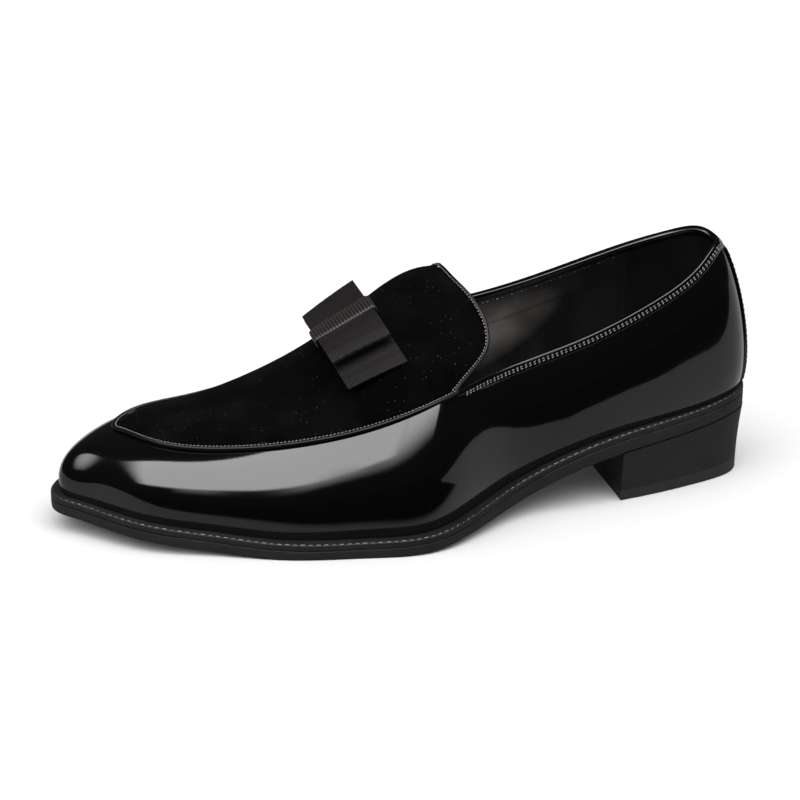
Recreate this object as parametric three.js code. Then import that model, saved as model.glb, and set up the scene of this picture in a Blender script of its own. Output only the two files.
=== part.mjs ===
// A formal slip-on shoe for the left foot: patent leather wall, velvet vamp with a piped seam, flat
// ribbon bow, leather sole and stacked heel. Millimetres, +Z up, toe towards -Y, outer side towards +X.
import * as THREE from "three";

// Driving sizes
const length = 300; // back of the heel curve to the toe of the sole
const ballWidth = 100; // the last's bottom across the ball
const coneHeight = 92; // top of the instep over the floor, where the tongue ends
const heelLift = 31; // the last's bottom at the heel over its lowest place
const toeSpring = 8.5; // the same at the toe
const wall = 2; // leather and lining together
const clearance = 0.3; // between pieces that touch
const weltThickness = 2.4;
const outsoleThickness = 4;
const waistThickening = 1.4; // what the outsole gains under waist and heel
const insoleThickness = 2.4;
const velvetThickness = 0.8;
const pipingRadius = 0.8;
const bindingRadius = 1.1;
const backstayThickness = 0.9;
const heelTaper = 2.4; // how far the heel's foot stands in from its top
const ribbonWidth = 26;
const ribbonThickness = 1.5; // a ribbon folded flat on itself
const longRibbon = 78;
const shortRibbon = 61;
const knotWidth = 13;
const knotThickness = 1.2;

const soleStack = weltThickness + outsoleThickness + 2 * clearance;

// The last is a net of ribs from its bottom edge up to its ridge, first the one at the back, then along
// the outer side to the toe, and the same ribs again along the inner side.
// foot and top: stations of the rib's ends, shares of the length.
// outer and inner: how far its foot stands from the shoe's long axis, shares of the ball's width.
// belly: how far it swells out, a share of its width. low and high: where, shares of its height.
// shoulder, rise and crown: where it turns over and how high, shares of width and height.
// rimOuter and rimInner: where the wall's edge runs, a share of the way up.
const ribs = [
  [0.017, -0.05, -0.05, 0.1, 0.15, 0.1, 0.42, 0.24, 0.78, 0.4, 0.75, 0.75],
  [0.037, 0.095, -0.22, 0.107, 0.142, 0.1, 0.42, 0.15, 0.81, 0.42, 0.74, 0.77],
  [0.09, 0.175, -0.315, 0.133, 0.135, 0.12, 0.42, 0.085, 0.82, 0.44, 0.645, 0.725],
  [0.167, 0.243, -0.335, 0.187, 0.13, 0.14, 0.42, 0.075, 0.825, 0.51, 0.565, 0.69],
  [0.273, 0.295, -0.315, 0.28, 0.122, 0.14, 0.42, 0.095, 0.815, 0.6, 0.517, 0.67],
  [0.387, 0.354, -0.28, 0.383, 0.117, 0.16, 0.42, 0.12, 0.87, 0.69, 0.5, 0.65],
  [0.5, 0.567, -0.31, 0.487, 0.098, 0.18, 0.45, 0.16, 0.89, 0.73, 0.478, 0.575],
  [0.6, 0.573, -0.385, 0.58, 0.073, 0.22, 0.52, 0.182, 0.886, 0.68, 0.487, 0.553],
  [0.7, 0.523, -0.435, 0.67, 0.051, 0.25, 0.6, 0.203, 0.887, 0.63, 0.535, 0.565],
  [0.8, 0.413, -0.42, 0.75, 0.047, 0.28, 0.65, 0.203, 0.935, 0.6, 0.585, 0.61],
  [0.887, 0.305, -0.345, 0.817, 0.043, 0.3, 0.7, 0.225, 0.97, 0.593, 0.65, 0.68],
  [0.953, 0.115, -0.21, 0.86, 0.02, 0.32, 0.72, 0.3, 0.93, 0.632, 0.775, 0.755],
  [0.985, -0.01, -0.01, 0.877, 0.06, 0.32, 0.72, 0.36, 0.9, 0.629, 0.845, 0.845],
];

// The ridge: station, place across (share of the ball's width) and height (share of the cone's).
const ridge = [
  [0.067, -0.04, 1.165],
  [0.1, -0.04, 1.2],
  [0.167, -0.05, 1.175],
  [0.28, -0.08, 1.09],
  [0.383, -0.13, 1.02],
  [0.44, -0.145, 1.04],
  [0.487, -0.15, 0.995],
  [0.58, -0.14, 0.785],
  [0.67, -0.12, 0.6],
  [0.75, -0.1, 0.49],
  [0.817, -0.08, 0.458],
  [0.877, -0.07, 0.427],
  [0.917, -0.06, 0.4],
];

// How much of the heel's lift and of the toe's spring the last's bottom has at each station.
const profile = [
  [0, 1, 0],
  [0.037, 0.975, 0],
  [0.09, 0.895, 0],
  [0.167, 0.82, 0],
  [0.22, 0.755, 0],
  [0.273, 0.64, 0],
  [0.387, 0.275, 0],
  [0.5, 0.05, 0],
  [0.58, 0.002, 0],
  [0.72, 0, 0.01],
  [0.8, 0, 0.25],
  [0.887, 0, 0.58],
  [0.953, 0, 0.82],
  [1, 0, 1],
];

// How far the sole stands out beyond the last's bottom at each station, in millimetres.
const margins = [
  [0.07, 2.3],
  [0.37, 4.5],
  [0.63, 5.3],
  [0.93, 4.3],
];

// How far back the tongue reaches past the throat, in ribs, at shares of the way from one seam over
// the ridge to the other.
const throat = 5.75;
const tongue = [
  [0, 0],
  [0.06, 0.44],
  [0.14, 0.56],
  [0.25, 0.48],
  [0.4, 0.27],
  [0.6, 0.16],
  [0.8, 0.14],
  [0.94, 0.1],
  [1, 0],
];

// A smooth function through one column of a table whose first column is where.
function through(table, column) {
  const at = table.map((row) => row[0]);
  const value = table.map((row) => row[column]);
  const last = at.length - 1;
  const slope = at.map((x, i) => {
    const lower = Math.max(0, i - 1);
    const upper = Math.min(last, i + 1);
    return (value[upper] - value[lower]) / (at[upper] - at[lower]);
  });
  return (x) => {
    if (x <= at[0]) return value[0] + slope[0] * (x - at[0]);
    if (x >= at[last]) return value[last] + slope[last] * (x - at[last]);
    let i = 0;
    while (x > at[i + 1]) i += 1;
    const span = at[i + 1] - at[i];
    const t = (x - at[i]) / span;
    const rest = 1 - t;
    return (
      value[i] * rest * rest * (1 + 2 * t) +
      value[i + 1] * t * t * (3 - 2 * t) +
      span * (slope[i] * t * rest * rest - slope[i + 1] * t * t * rest)
    );
  };
}

const ridgeAcross = through(ridge, 1);
const ridgeRise = through(ridge, 2);
const heelShare = through(profile, 1);
const springShare = through(profile, 2);
const marginAt = through(margins, 1);
const ribGap = 34; // millimetres from rib to rib under the tongue
const acrossTongue = 115; // and over the skin from one seam to the other

// The tongue's edge moved in by some millimetres, as a function of the share of the way across
function tongueReach(inset) {
  const reach = through(tongue, 1);
  const shares = steps(30).map((t) => THREE.MathUtils.clamp(t, 0.01, 0.99));
  return through(
    shares.map((share) => {
      const along = (reach(share - 0.01) - reach(share + 0.01)) * ribGap;
      const across = 0.02 * acrossTongue;
      const size = Math.hypot(along, across);
      return [
        share - (inset * along) / size / acrossTongue,
        reach(share) - (inset * across) / size / ribGap,
      ];
    }),
    1,
  );
}

const steps = (count, from = 0, to = 1) =>
  Array.from({ length: count + 1 }, (_, i) => from + ((to - from) * i) / count);
const smoothStep = (x, from, to) => THREE.MathUtils.smoothstep(x, from, to);
const ridgeHeight = (along) => coneHeight * ridgeRise(along / length);
const footHeight = (along) =>
  soleStack + heelLift * heelShare(along / length) + toeSpring * springShare(along / length);

// Twice the ribs less the two that both sides share
const around = 2 * (ribs.length - 1);
const toe = around / 2;

// The six control points of a rib on one side, each as along, across and height.
function ribControls(row, side) {
  const [foot, outer, inner, top, belly, low, high, shoulder, rise, crown] = row;
  const footAlong = foot * length;
  const footAcross = (side > 0 ? outer : inner) * ballWidth;
  const topAlong = top * length;
  const topAcross = ridgeAcross(top) * ballWidth;
  const footZ = footHeight(footAlong);
  const topZ = ridgeHeight(topAlong);
  const slope = ridgeHeight(topAlong + 1) - topZ;
  const shares = [
    [0, 0],
    [-belly, low],
    [-belly, high],
    [shoulder, rise],
    [crown, 1],
    [1, 1],
  ];
  return shares.flatMap(([inward, up], i) => {
    const along = footAlong + inward * (topAlong - footAlong);
    const across = footAcross + inward * (topAcross - footAcross);
    const height = footZ + up * (topZ - footZ);
    return [along, across, i === 4 ? height + slope * (along - topAlong) : height];
  });
}

// Control values of a closed cubic B-spline that goes through the given rows.
function closedControls(rows) {
  let controls = rows.map((row) => [...row]);
  const count = rows.length;
  for (let pass = 0; pass < 40; pass += 1) {
    controls = controls.map((row, i) => {
      const before = controls[(i + count - 1) % count];
      const after = controls[(i + 1) % count];
      return row.map((value, k) => value + rows[i][k] - (before[k] + 4 * value + after[k]) / 6);
    });
  }
  return controls;
}

function closedAt(controls, s) {
  const count = controls.length;
  const turn = ((s % count) + count) % count;
  const i = Math.floor(turn);
  const t = turn - i;
  const weights = [
    (1 - t) ** 3 / 6,
    (3 * t ** 3 - 6 * t ** 2 + 4) / 6,
    (-3 * t ** 3 + 3 * t ** 2 + 3 * t + 1) / 6,
    t ** 3 / 6,
  ];
  return controls[0].map((_, k) =>
    weights.reduce((sum, w, j) => sum + w * controls[(i + j - 1 + count) % count][k], 0),
  );
}

const outerRibs = ribs.map((row) => [row, 1]);
const innerRibs = ribs.slice(1, -1).reverse().map((row) => [row, -1]);
const ringOfRibs = [...outerRibs, ...innerRibs];
const netControls = closedControls(ringOfRibs.map(([row, side]) => ribControls(row, side)));
const rimControls = closedControls(ringOfRibs.map(([row, side]) => [side > 0 ? row[10] : row[11]]));

// Where the wall ends and the vamp's seam or the collar runs
const rimAt = (s) => closedAt(rimControls, s)[0];

// A point on the last's skin: s counts ribs round the shoe, v goes from its bottom edge to its ridge.
function skin(s, v) {
  const net = closedAt(netControls, s);
  const weights = [1, 5, 10, 10, 5, 1].map((n, k) => n * v ** k * (1 - v) ** (5 - k));
  const [along, across, height] = [0, 1, 2].map((axis) =>
    weights.reduce((sum, w, k) => sum + w * net[3 * k + axis], 0),
  );
  const settled = height + (footHeight(net[0]) - net[2]) * (1 - v) ** 4;
  return new THREE.Vector3(across, -along, settled);
}

// The skin's direction outwards
function outwards(s, v) {
  const at = skin(s, v);
  if (v > 0.999) {
    const slope = ridgeHeight(-at.y + 0.5) - ridgeHeight(-at.y - 0.5);
    return new THREE.Vector3(0, slope, 1).normalize();
  }
  const step = 1e-3;
  const forward = skin(s + step, v).sub(skin(s - step, v));
  const up = skin(s, Math.min(v + step, 1)).sub(skin(s, Math.max(v - step, 0)));
  return up.cross(forward).normalize();
}

const offSkin = (s, v, distance) => skin(s, v).addScaledVector(outwards(s, v), distance);

// The way up the skin at a place, and how many millimetres one unit of v is there
function upwards(s, v) {
  return skin(s, v + 5e-3).sub(skin(s, v - 5e-3)).multiplyScalar(100);
}

// Outwards from the last's bottom edge, in plan
function sideways(s) {
  const forward = skin(s + 0.01, 0).sub(skin(s - 0.01, 0));
  return new THREE.Vector3(-forward.y, forward.x, 0).normalize();
}

// A body is gathered as loose triangles, whose shared corners the exporter joins.
function body() {
  return { corners: [] };
}

function triangle(solid, a, b, c) {
  const closest = Math.min(a.distanceTo(b), b.distanceTo(c), c.distanceTo(a));
  if (closest > 1e-3) solid.corners.push(a, b, c);
}

function quad(solid, a, b, c, d) {
  triangle(solid, a, b, c);
  triangle(solid, a, c, d);
}

// Quads over a grid of points; turned gives them the other face.
function sheet(solid, grid, turned = false) {
  for (let i = 0; i + 1 < grid.length; i += 1) {
    for (let j = 0; j + 1 < grid[i].length; j += 1) {
      const [start, end] = [grid[i][j], grid[i + 1][j + 1]];
      if (turned) quad(solid, start, grid[i][j + 1], end, grid[i + 1][j]);
      else quad(solid, start, grid[i + 1][j], end, grid[i][j + 1]);
    }
  }
}

// A strip between two lines of points
const strip = (solid, first, second) => sheet(solid, first.map((point, i) => [point, second[i]]));

// Upper
const aroundSteps = 96; // lines round the shoe
const lineGap = around / aroundSteps;
const wallRows = 7;
const vampRows = [0, 0.05, 0.12, 0.22, 0.4, 0.68, 1]; // shares of the way from seam to ridge
const bindingHeight = 2 * bindingRadius + clearance;

// The wall's own top edge: the binding's height under the collar line, the seam itself at the vamp.
function wallTop(s) {
  const fromThroat = throat - Math.min(s, around - s);
  const drop = bindingHeight * smoothStep(fromThroat, 0, 0.5);
  return rimAt(s) - drop / upwards(s, rimAt(s)).length();
}

// The vamp's lines fan out from one side over the toe to the other. The first ones bend back into
// the tongue. w goes from seam to ridge on the outer side, and is used again on the inner side.
function vampPlace(s, w, reach = tongueEdge) {
  const inner = s > toe;
  const fromThroat = (inner ? around - s : s) - throat;
  const fade = Math.max(0, 1 - fromThroat / 1.6) ** 2;
  const bent = fromThroat + throat - fade * reach(inner ? 1 - w / 2 : w / 2);
  const place = inner ? around - bent : bent;
  const rim = rimAt(place);
  return [place, rim + (1 - rim) * w];
}
const tongueEdge = through(tongue, 1);

// The share of the way to the ridge at which a vamp line is this far from the seam
function fromSeam(s, inset) {
  const rim = rimAt(s);
  return inset / upwards(s, rim).length() / (1 - rim);
}

const vampLines = steps(Math.round((around - 2 * throat) / lineGap), throat, around - throat);
const middleLine = (vampLines.length - 1) / 2;
const outerLines = vampLines.slice(0, middleLine + 1);
const innerLines = vampLines.slice(middleLine);
const wallLines = steps(aroundSteps, 0, around);

function makeUpper() {
  const solid = body();
  const bottom = (s, depth) => {
    const point = skin(s, 0).addScaledVector(sideways(s), -depth);
    point.z = footHeight(-point.y);
    return point;
  };
  const wallPoint = (s, share, depth) =>
    share === 0 ? bottom(s, depth) : offSkin(s, wallTop(s) * share, -depth);
  const wallGrid = (depth) => wallLines.map((s) => steps(wallRows).map((share) => wallPoint(s, share, depth)));
  const vampGrid = (lines, depth) =>
    lines.map((s) => vampRows.map((w) => offSkin(...vampPlace(s, w), -depth)));
  const skins = [0, wall].map((depth) => ({
    sides: wallGrid(depth),
    outer: vampGrid(outerLines, depth),
    inner: vampGrid(innerLines, depth),
  }));
  skins.forEach((part, i) => {
    sheet(solid, part.sides, i === 1);
    sheet(solid, part.outer, i === 1);
    sheet(solid, part.inner, i === 1);
  });
  const [outside, inside] = skins;
  const foot = (grid) => grid.map((line) => line[0]);
  const top = (grid) => grid.map((line) => line[line.length - 1]);
  strip(solid, foot(inside.sides), foot(outside.sides));
  // The collar's edge runs where no vamp line starts.
  const collar = (from, to) => {
    const range = (grid) => top(grid).slice(from, to + 1);
    strip(solid, range(outside.sides), range(inside.sides));
  };
  const throatLine = Math.round(throat / lineGap);
  collar(0, throatLine);
  collar(aroundSteps - throatLine, aroundSteps);
  strip(solid, outside.outer[0], inside.outer[0]);
  strip(solid, inside.inner.at(-1), outside.inner.at(-1));
  return solid;
}

// A sheet of velvet over the vamp, held off it by the clearance and kept inside the piping
function makeVelvet() {
  const solid = body();
  const inset = pipingRadius + 2 * clearance;
  const shortReach = tongueReach(2 * inset);
  const grid = (lines, height) =>
    lines.map((s) => {
      const atTongue = s === throat || s === around - throat;
      const reach = atTongue ? shortReach : tongueEdge;
      const first = fromSeam(s, inset);
      const rows = vampRows.map((w, j) => Math.max(w, first * (1 + j / 3)));
      return rows.map((w) => offSkin(...vampPlace(s, Math.min(w, 1), reach), height));
    });
  const [under, over] = [clearance, clearance + velvetThickness].map((height) => ({
    outer: grid(outerLines, height),
    inner: grid(innerLines, height),
  }));
  sheet(solid, over.outer);
  sheet(solid, over.inner);
  sheet(solid, under.outer, true);
  sheet(solid, under.inner, true);
  const seam = (part) => [...part.outer.slice(0, -1), ...part.inner].map((line) => line[0]);
  strip(solid, seam(under), seam(over));
  strip(solid, over.outer[0], under.outer[0]);
  strip(solid, under.inner.at(-1), over.inner.at(-1));
  return solid;
}

// A round bead along a line of centres, each with the direction that its first corner faces.
function bead(centres, faces, radius, closed) {
  const solid = body();
  const sides = 6;
  const count = centres.length;
  const ring = centres.map((centre, i) => {
    const before = centres[closed ? (i + count - 1) % count : Math.max(0, i - 1)];
    const after = centres[closed ? (i + 1) % count : Math.min(count - 1, i + 1)];
    const forward = after.clone().sub(before).normalize();
    const face = faces[i].clone().addScaledVector(forward, -faces[i].dot(forward)).normalize();
    const across = forward.clone().cross(face);
    return steps(sides, 0, 2 * Math.PI).map((angle) =>
      centre
        .clone()
        .addScaledVector(face, radius * Math.cos(angle))
        .addScaledVector(across, radius * Math.sin(angle)),
    );
  });
  ring.forEach((line) => {
    line[sides] = line[0];
  });
  if (closed) {
    ring.push(ring[0]);
    sheet(solid, ring);
    return solid;
  }
  sheet(solid, ring);
  const cap = (line, turned) => {
    for (let i = 1; i + 1 < sides; i += 1) {
      const corners = [line[0], line[i], line[i + 1]];
      if (turned) corners.reverse();
      triangle(solid, ...corners);
    }
  };
  cap(ring[0], false);
  cap(ring.at(-1), true);
  return solid;
}

// The piping follows the seam round the toe and comes back over the tongue's edge.
function makePiping() {
  const height = clearance + pipingRadius;
  const reach = tongueReach(pipingRadius + clearance);
  const seamPlaces = vampLines.map((s) => [s, rimAt(s)]);
  const backInner = vampRows.slice(1, -1).map((w) => vampPlace(around - throat, w, reach));
  const backOuter = vampRows.slice(1).reverse().map((w) => vampPlace(throat, w, reach));
  const places = [...seamPlaces, ...backInner, ...backOuter];
  const centres = places.map(([s, v]) => offSkin(s, v, height));
  const faces = places.map(([s, v]) => outwards(s, v));
  return bead(centres, faces, pipingRadius, true);
}

// The binding sits on the wall's top edge from one side of the throat round the heel to the other.
function makeBinding() {
  const start = throat - 2 * lineGap;
  const lines = steps(Math.round((2 * start) / lineGap), -start, start);
  const centres = [];
  const faces = [];
  lines.forEach((s) => {
    const turn = s < 0 ? s + around : s;
    const v = wallTop(turn);
    const up = upwards(turn, v).normalize();
    centres.push(offSkin(turn, v, -wall / 2).addScaledVector(up, clearance + bindingRadius));
    faces.push(up);
  });
  return bead(centres, faces, bindingRadius, false);
}

// A strip of leather up the back seam
function makeBackstay() {
  const solid = body();
  const reach = 2;
  const lines = steps(2 * reach, -reach, reach).map((i) => (i * lineGap + around) % around);
  const rows = [0.35, ...steps(wallRows).slice(1, -1).map((share) => share * wallRows), wallRows - 0.25];
  const grid = (height) =>
    lines.map((s) => rows.map((row) => offSkin(s, (wallTop(s) * row) / wallRows, height)));
  const under = grid(clearance);
  const over = grid(clearance + backstayThickness);
  sheet(solid, over);
  sheet(solid, under, true);
  const column = (part, j) => part.map((line) => line.at(j));
  strip(solid, column(under, 0), column(over, 0));
  strip(solid, column(over, -1), column(under, -1));
  strip(solid, over[0], under[0]);
  strip(solid, under.at(-1), over.at(-1));
  return solid;
}

// Sole
const soleLines = 84;
const treadSettle = 0.15; // presses the sole's lowest stretch flat onto the floor
const outsoleTop = (along) => footHeight(along) - weltThickness - 2 * clearance;
const outsoleBottom = (along) => {
  const gain = waistThickening * (1 - smoothStep(along / length, 0.37, 0.5));
  return Math.max(0, outsoleTop(along) - outsoleThickness - gain - treadSettle);
};

const soleEdge = (s, inset = 0) =>
  skin(s, 0).addScaledVector(sideways(s), marginAt(-skin(s, 0).y / length) - inset);

const atHeight = (point, height) => new THREE.Vector3(point.x, point.y, height(-point.y));

// A bent plate between two heights that depend on the station only, with the given outline
function plate(outline, lower, upper, lean = 0) {
  const solid = body();
  const places = steps(soleLines, 0, around);
  const faces = [
    [upper, 0],
    [lower, lean],
  ].map(([height, inset]) => ({
    rim: places.map((s) => atHeight(outline(s, inset), height)),
    core: places.map((s) => atHeight(outline(s, plateBorder), height)),
  }));
  const [over, under] = faces;
  const half = soleLines / 2;
  const mirrored = (line) => [line.slice(0, half + 1), line.slice(half).reverse()];
  strip(solid, over.rim, over.core);
  strip(solid, under.core, under.rim);
  strip(solid, ...mirrored(over.core));
  strip(solid, ...mirrored(under.core).reverse());
  strip(solid, under.rim, over.rim);
  return solid;
}
const plateBorder = 5.5; // the ring of faces round a plate's edge

const makeWelt = () =>
  plate(
    soleEdge,
    (along) => footHeight(along) - clearance - weltThickness,
    (along) => footHeight(along) - clearance,
  );

const makeOutsole = () => plate((s, inset) => soleEdge(s, inset), outsoleBottom, outsoleTop, 0.5);

function makeInsole() {
  const outline = (s, inset) => skin(s, 0).addScaledVector(sideways(s), -wall - 1.5 * clearance - inset);
  return plate(outline, footHeight, (along) => footHeight(along) + insoleThickness);
}

// Heel
const heelBreast = 0.22; // station of its front face, a share of the length
const heelHollow = 0.5;
const heelTop = (along) => outsoleBottom(along) - clearance;

function makeHeel() {
  const solid = body();
  const breastRib = (from, to) => {
    let [low, high] = [from, to];
    for (let i = 0; i < 40; i += 1) {
      const middle = (low + high) / 2;
      if (-soleEdge(middle).y < heelBreast * length) low = middle;
      else high = middle;
    }
    return low;
  };
  const outerEnd = breastRib(1, toe);
  const innerEnd = breastRib(-1, -toe);
  const count = 12;
  const places = [...steps(count, innerEnd, 0).slice(0, -1), ...steps(count, 0, outerEnd)];
  const levels = steps(4);
  const point = (s, share) => {
    const inset = heelTaper * (1 - share) + heelHollow * 4 * share * (1 - share);
    const edge = soleEdge((s + around) % around, inset);
    const along = Math.min(-edge.y, heelBreast * length);
    return new THREE.Vector3(edge.x, -along, share * heelTop(along));
  };
  const grid = places.map((s) => levels.map((share) => point(s, share)));
  sheet(solid, grid);
  const half = (line) => [line.slice(0, count + 1).reverse(), line.slice(count)];
  const column = (j) => grid.map((line) => line.at(j));
  strip(solid, ...half(column(-1)).reverse());
  strip(solid, ...half(column(0)));
  strip(solid, grid[0], grid.at(-1));
  return solid;
}

// Bow
const bowStation = 0.58; // of its middle
const bowAcross = -0.035; // of its middle, a share of the ball's width
const bowSlope = 0.54; // how steeply it falls towards the toe
const bowTwist = 0.003; // how much flatter it lies per millimetre towards its outer end
const bowPlace = (() => {
  const along = bowStation * length;
  const at = new THREE.Vector3(bowAcross * ballWidth, -along, ridgeHeight(along));
  const forward = new THREE.Vector3(0, -1, -bowSlope).normalize();
  const side = new THREE.Vector3(1, 0, 0);
  return { at, forward, side, up: forward.clone().cross(side) };
})();

// The vamp's own shape under the ribbon, as heights over the bow's middle
const bowSamples = (() => {
  const found = [];
  const { at, forward, side, up } = bowPlace;
  for (const s of [...steps(32, 5, 9), ...steps(32, around - 9, around - 5)]) {
    for (const w of steps(40)) {
      const offset = skin(s, rimAt(s) + (1 - rimAt(s)) * w).sub(at);
      const [x, y] = [offset.dot(side), offset.dot(forward)];
      found.push([x, y, offset.dot(up) - bowTwist * x * y]);
    }
  }
  return found;
})();

const velvetTop = 2 * clearance + velvetThickness;

function vampUnder(x) {
  const near = bowSamples.filter(
    ([sx, sy]) => Math.abs(sx - x) < 2 && Math.abs(sy) < ribbonWidth / 2 + 3,
  );
  return velvetTop + Math.max(...near.map(([, , z]) => z));
}

// The heights at which a ribbon lies: on the vamp on its outer half, while the inner half sticks out
// on its own and falls only by the given slope.
function drapeOf(slope) {
  const crest = vampUnder(0);
  const stations = steps(12, -0.5, 0.5).map((share) => share * longRibbon);
  return through(
    stations.map((x) => [x, Math.max(vampUnder(x), x < 0 ? crest + slope * x : -Infinity)]),
    1,
  );
}
const longDrape = drapeOf(0.12);
const shortDrape = drapeOf(0.03);

const inBow = (x, y, z) =>
  bowPlace.at
    .clone()
    .addScaledVector(bowPlace.side, x)
    .addScaledVector(bowPlace.forward, y)
    .addScaledVector(bowPlace.up, z + bowTwist * x * y);

// A folded ribbon: its cut is a flat loop with round ends, drawn along the shoe
function makeRibbon(ribbonLength, drape, lift, puff) {
  const solid = body();
  const half = ribbonLength / 2;
  const thick = ribbonThickness / 2;
  const middle = (x) => {
    const free = Math.max(0, x - knotWidth / 2) / (half - knotWidth / 2);
    const grade = Math.hypot(1, drape(x + 0.5) - drape(x - 0.5));
    return drape(x) + (lift + thick) * grade + puff * Math.sin((Math.PI * Math.min(1, free)) / 1.6);
  };
  const reach = half - thick;
  const xs = steps(12, -reach, reach);
  const line = (x, angle) => {
    const tilt = Math.atan(middle(x + 0.5) - middle(x - 0.5));
    return [x - thick * Math.sin(tilt + angle), middle(x) + thick * Math.cos(tilt + angle)];
  };
  const turn = (x, from) => [0.25, 0.5, 0.75].map((share) => line(x, from - share * Math.PI));
  const cut = [
    ...xs.map((x) => line(x, 0)),
    ...turn(reach, 0),
    ...[...xs].reverse().map((x) => line(x, Math.PI)),
    ...turn(-reach, Math.PI),
  ];
  const edge = (y) => cut.map(([x, z]) => inBow(x, y, z));
  const near = edge(-ribbonWidth / 2);
  const far = edge(ribbonWidth / 2);
  strip(solid, [...near, near[0]], [...far, far[0]]);
  const flat = cut.map(([x, z]) => new THREE.Vector2(x, z));
  THREE.ShapeUtils.triangulateShape(flat, []).forEach(([a, b, c]) => {
    triangle(solid, near[a], near[b], near[c]);
    triangle(solid, far[c], far[b], far[a]);
  });
  return solid;
}

const shortLift = ribbonThickness + clearance;
const shortPuff = 1.2;
const makeLongRibbon = () => makeRibbon(longRibbon, longDrape, 0, 0);
const makeShortRibbon = () => makeRibbon(shortRibbon, shortDrape, shortLift, shortPuff);

// The knot: a band over both ribbons and down past their edges
function makeKnot() {
  const solid = body();
  const xs = steps(4, -knotWidth / 2, knotWidth / 2);
  const reach = ribbonWidth / 2 + clearance;
  const top = ribbonThickness + shortLift + clearance;
  const corner = 0.5;
  const path = (grow) => {
    const round = corner + grow;
    const bend = (from) =>
      steps(3, from, from - Math.PI / 2).map((angle) => [
        Math.sign(Math.cos(from - Math.PI / 4)) * (reach - corner) + round * Math.cos(angle),
        top - corner + round * Math.sin(angle),
      ]);
    return [
      [-reach - grow, 0],
      ...bend(Math.PI),
      ...bend(Math.PI / 2),
      [reach + grow, 0],
    ];
  };
  const highest = Math.max(...xs.map((x) => shortDrape(x)));
  const grid = (grow) => xs.map((x) => path(grow).map(([y, z]) => inBow(x, y, highest + z)));
  const under = grid(0);
  const over = grid(knotThickness);
  sheet(solid, over);
  sheet(solid, under, true);
  const column = (part, j) => part.map((line) => line.at(j));
  strip(solid, column(under, 0), column(over, 0));
  strip(solid, column(over, -1), column(under, -1));
  strip(solid, over[0], under[0]);
  strip(solid, under.at(-1), over.at(-1));
  return solid;
}

// Materials
const patent = new THREE.MeshStandardMaterial({ color: 0x0b0b0d, roughness: 0.08, metalness: 0 });
const velvet = new THREE.MeshStandardMaterial({ color: 0x101011, roughness: 0.95, metalness: 0 });
const grosgrain = new THREE.MeshStandardMaterial({ color: 0x252526, roughness: 0.75, metalness: 0 });
const soleLeather = new THREE.MeshStandardMaterial({ color: 0x232427, roughness: 0.45, metalness: 0 });
const lining = new THREE.MeshStandardMaterial({ color: 0x17171a, roughness: 0.5, metalness: 0 });

const pieces = [
  ["outsole", makeOutsole, soleLeather],
  ["welt", makeWelt, soleLeather],
  ["heel", makeHeel, soleLeather],
  ["insole", makeInsole, lining],
  ["upper", makeUpper, patent],
  ["velvet_vamp", makeVelvet, velvet],
  ["vamp_piping", makePiping, patent],
  ["collar_binding", makeBinding, patent],
  ["backstay", makeBackstay, patent],
  ["bow_long_ribbon", makeLongRibbon, grosgrain],
  ["bow_short_ribbon", makeShortRibbon, grosgrain],
  ["bow_knot", makeKnot, grosgrain],
];

const shoe = new THREE.Group();
shoe.name = "slip_on_shoe";
pieces.forEach(([name, make, material]) => {
  const { corners } = make();
  let volume = 0;
  for (let i = 0; i < corners.length; i += 3) {
    volume += corners[i].dot(corners[i + 1].clone().cross(corners[i + 2]));
  }
  if (volume < 0) corners.reverse();
  const geometry = new THREE.BufferGeometry().setFromPoints(corners);
  geometry.computeVertexNormals();
  const mesh = new THREE.Mesh(geometry, material);
  mesh.name = name;
  shoe.add(mesh);
});

// The frame's origin is the middle of the shoe's foot print, on the floor.
const extent = new THREE.Box3().setFromObject(shoe);
const middle = extent.getCenter(new THREE.Vector3());
shoe.children.forEach((mesh) => mesh.geometry.translate(-middle.x, -middle.y, -extent.min.z));

export default shoe;
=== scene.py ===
# A formal slip-on shoe, left foot: patent leather wall, velvet vamp with a piped seam, flat ribbon bow,
# thin leather sole and stacked heel. Lengths are millimetres until a mesh is made, then metres.
import math

import bmesh
import bpy
import numpy as np
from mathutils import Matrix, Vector


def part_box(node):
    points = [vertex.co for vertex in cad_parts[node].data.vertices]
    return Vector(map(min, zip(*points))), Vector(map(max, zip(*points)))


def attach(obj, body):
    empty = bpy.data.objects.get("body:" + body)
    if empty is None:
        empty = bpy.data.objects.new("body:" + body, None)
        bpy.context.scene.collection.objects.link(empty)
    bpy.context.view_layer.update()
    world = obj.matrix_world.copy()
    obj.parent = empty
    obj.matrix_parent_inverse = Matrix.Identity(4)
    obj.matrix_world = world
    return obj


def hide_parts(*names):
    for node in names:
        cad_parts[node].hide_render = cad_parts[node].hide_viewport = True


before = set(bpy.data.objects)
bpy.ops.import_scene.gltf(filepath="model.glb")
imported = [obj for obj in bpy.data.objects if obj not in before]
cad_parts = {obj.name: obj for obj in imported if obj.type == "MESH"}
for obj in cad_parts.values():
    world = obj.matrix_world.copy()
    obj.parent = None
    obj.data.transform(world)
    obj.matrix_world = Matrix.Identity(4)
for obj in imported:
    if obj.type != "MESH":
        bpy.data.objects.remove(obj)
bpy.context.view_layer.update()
print("frame loaded")

mm = 0.001


# Camera

view = {
    "azimuth": 76.2,
    "elevation": 20.8,
    "distance": 1.3,
    "lens": 141.4,
    "target": (-0.0077, -0.0029, 0.0422),
}


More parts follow.
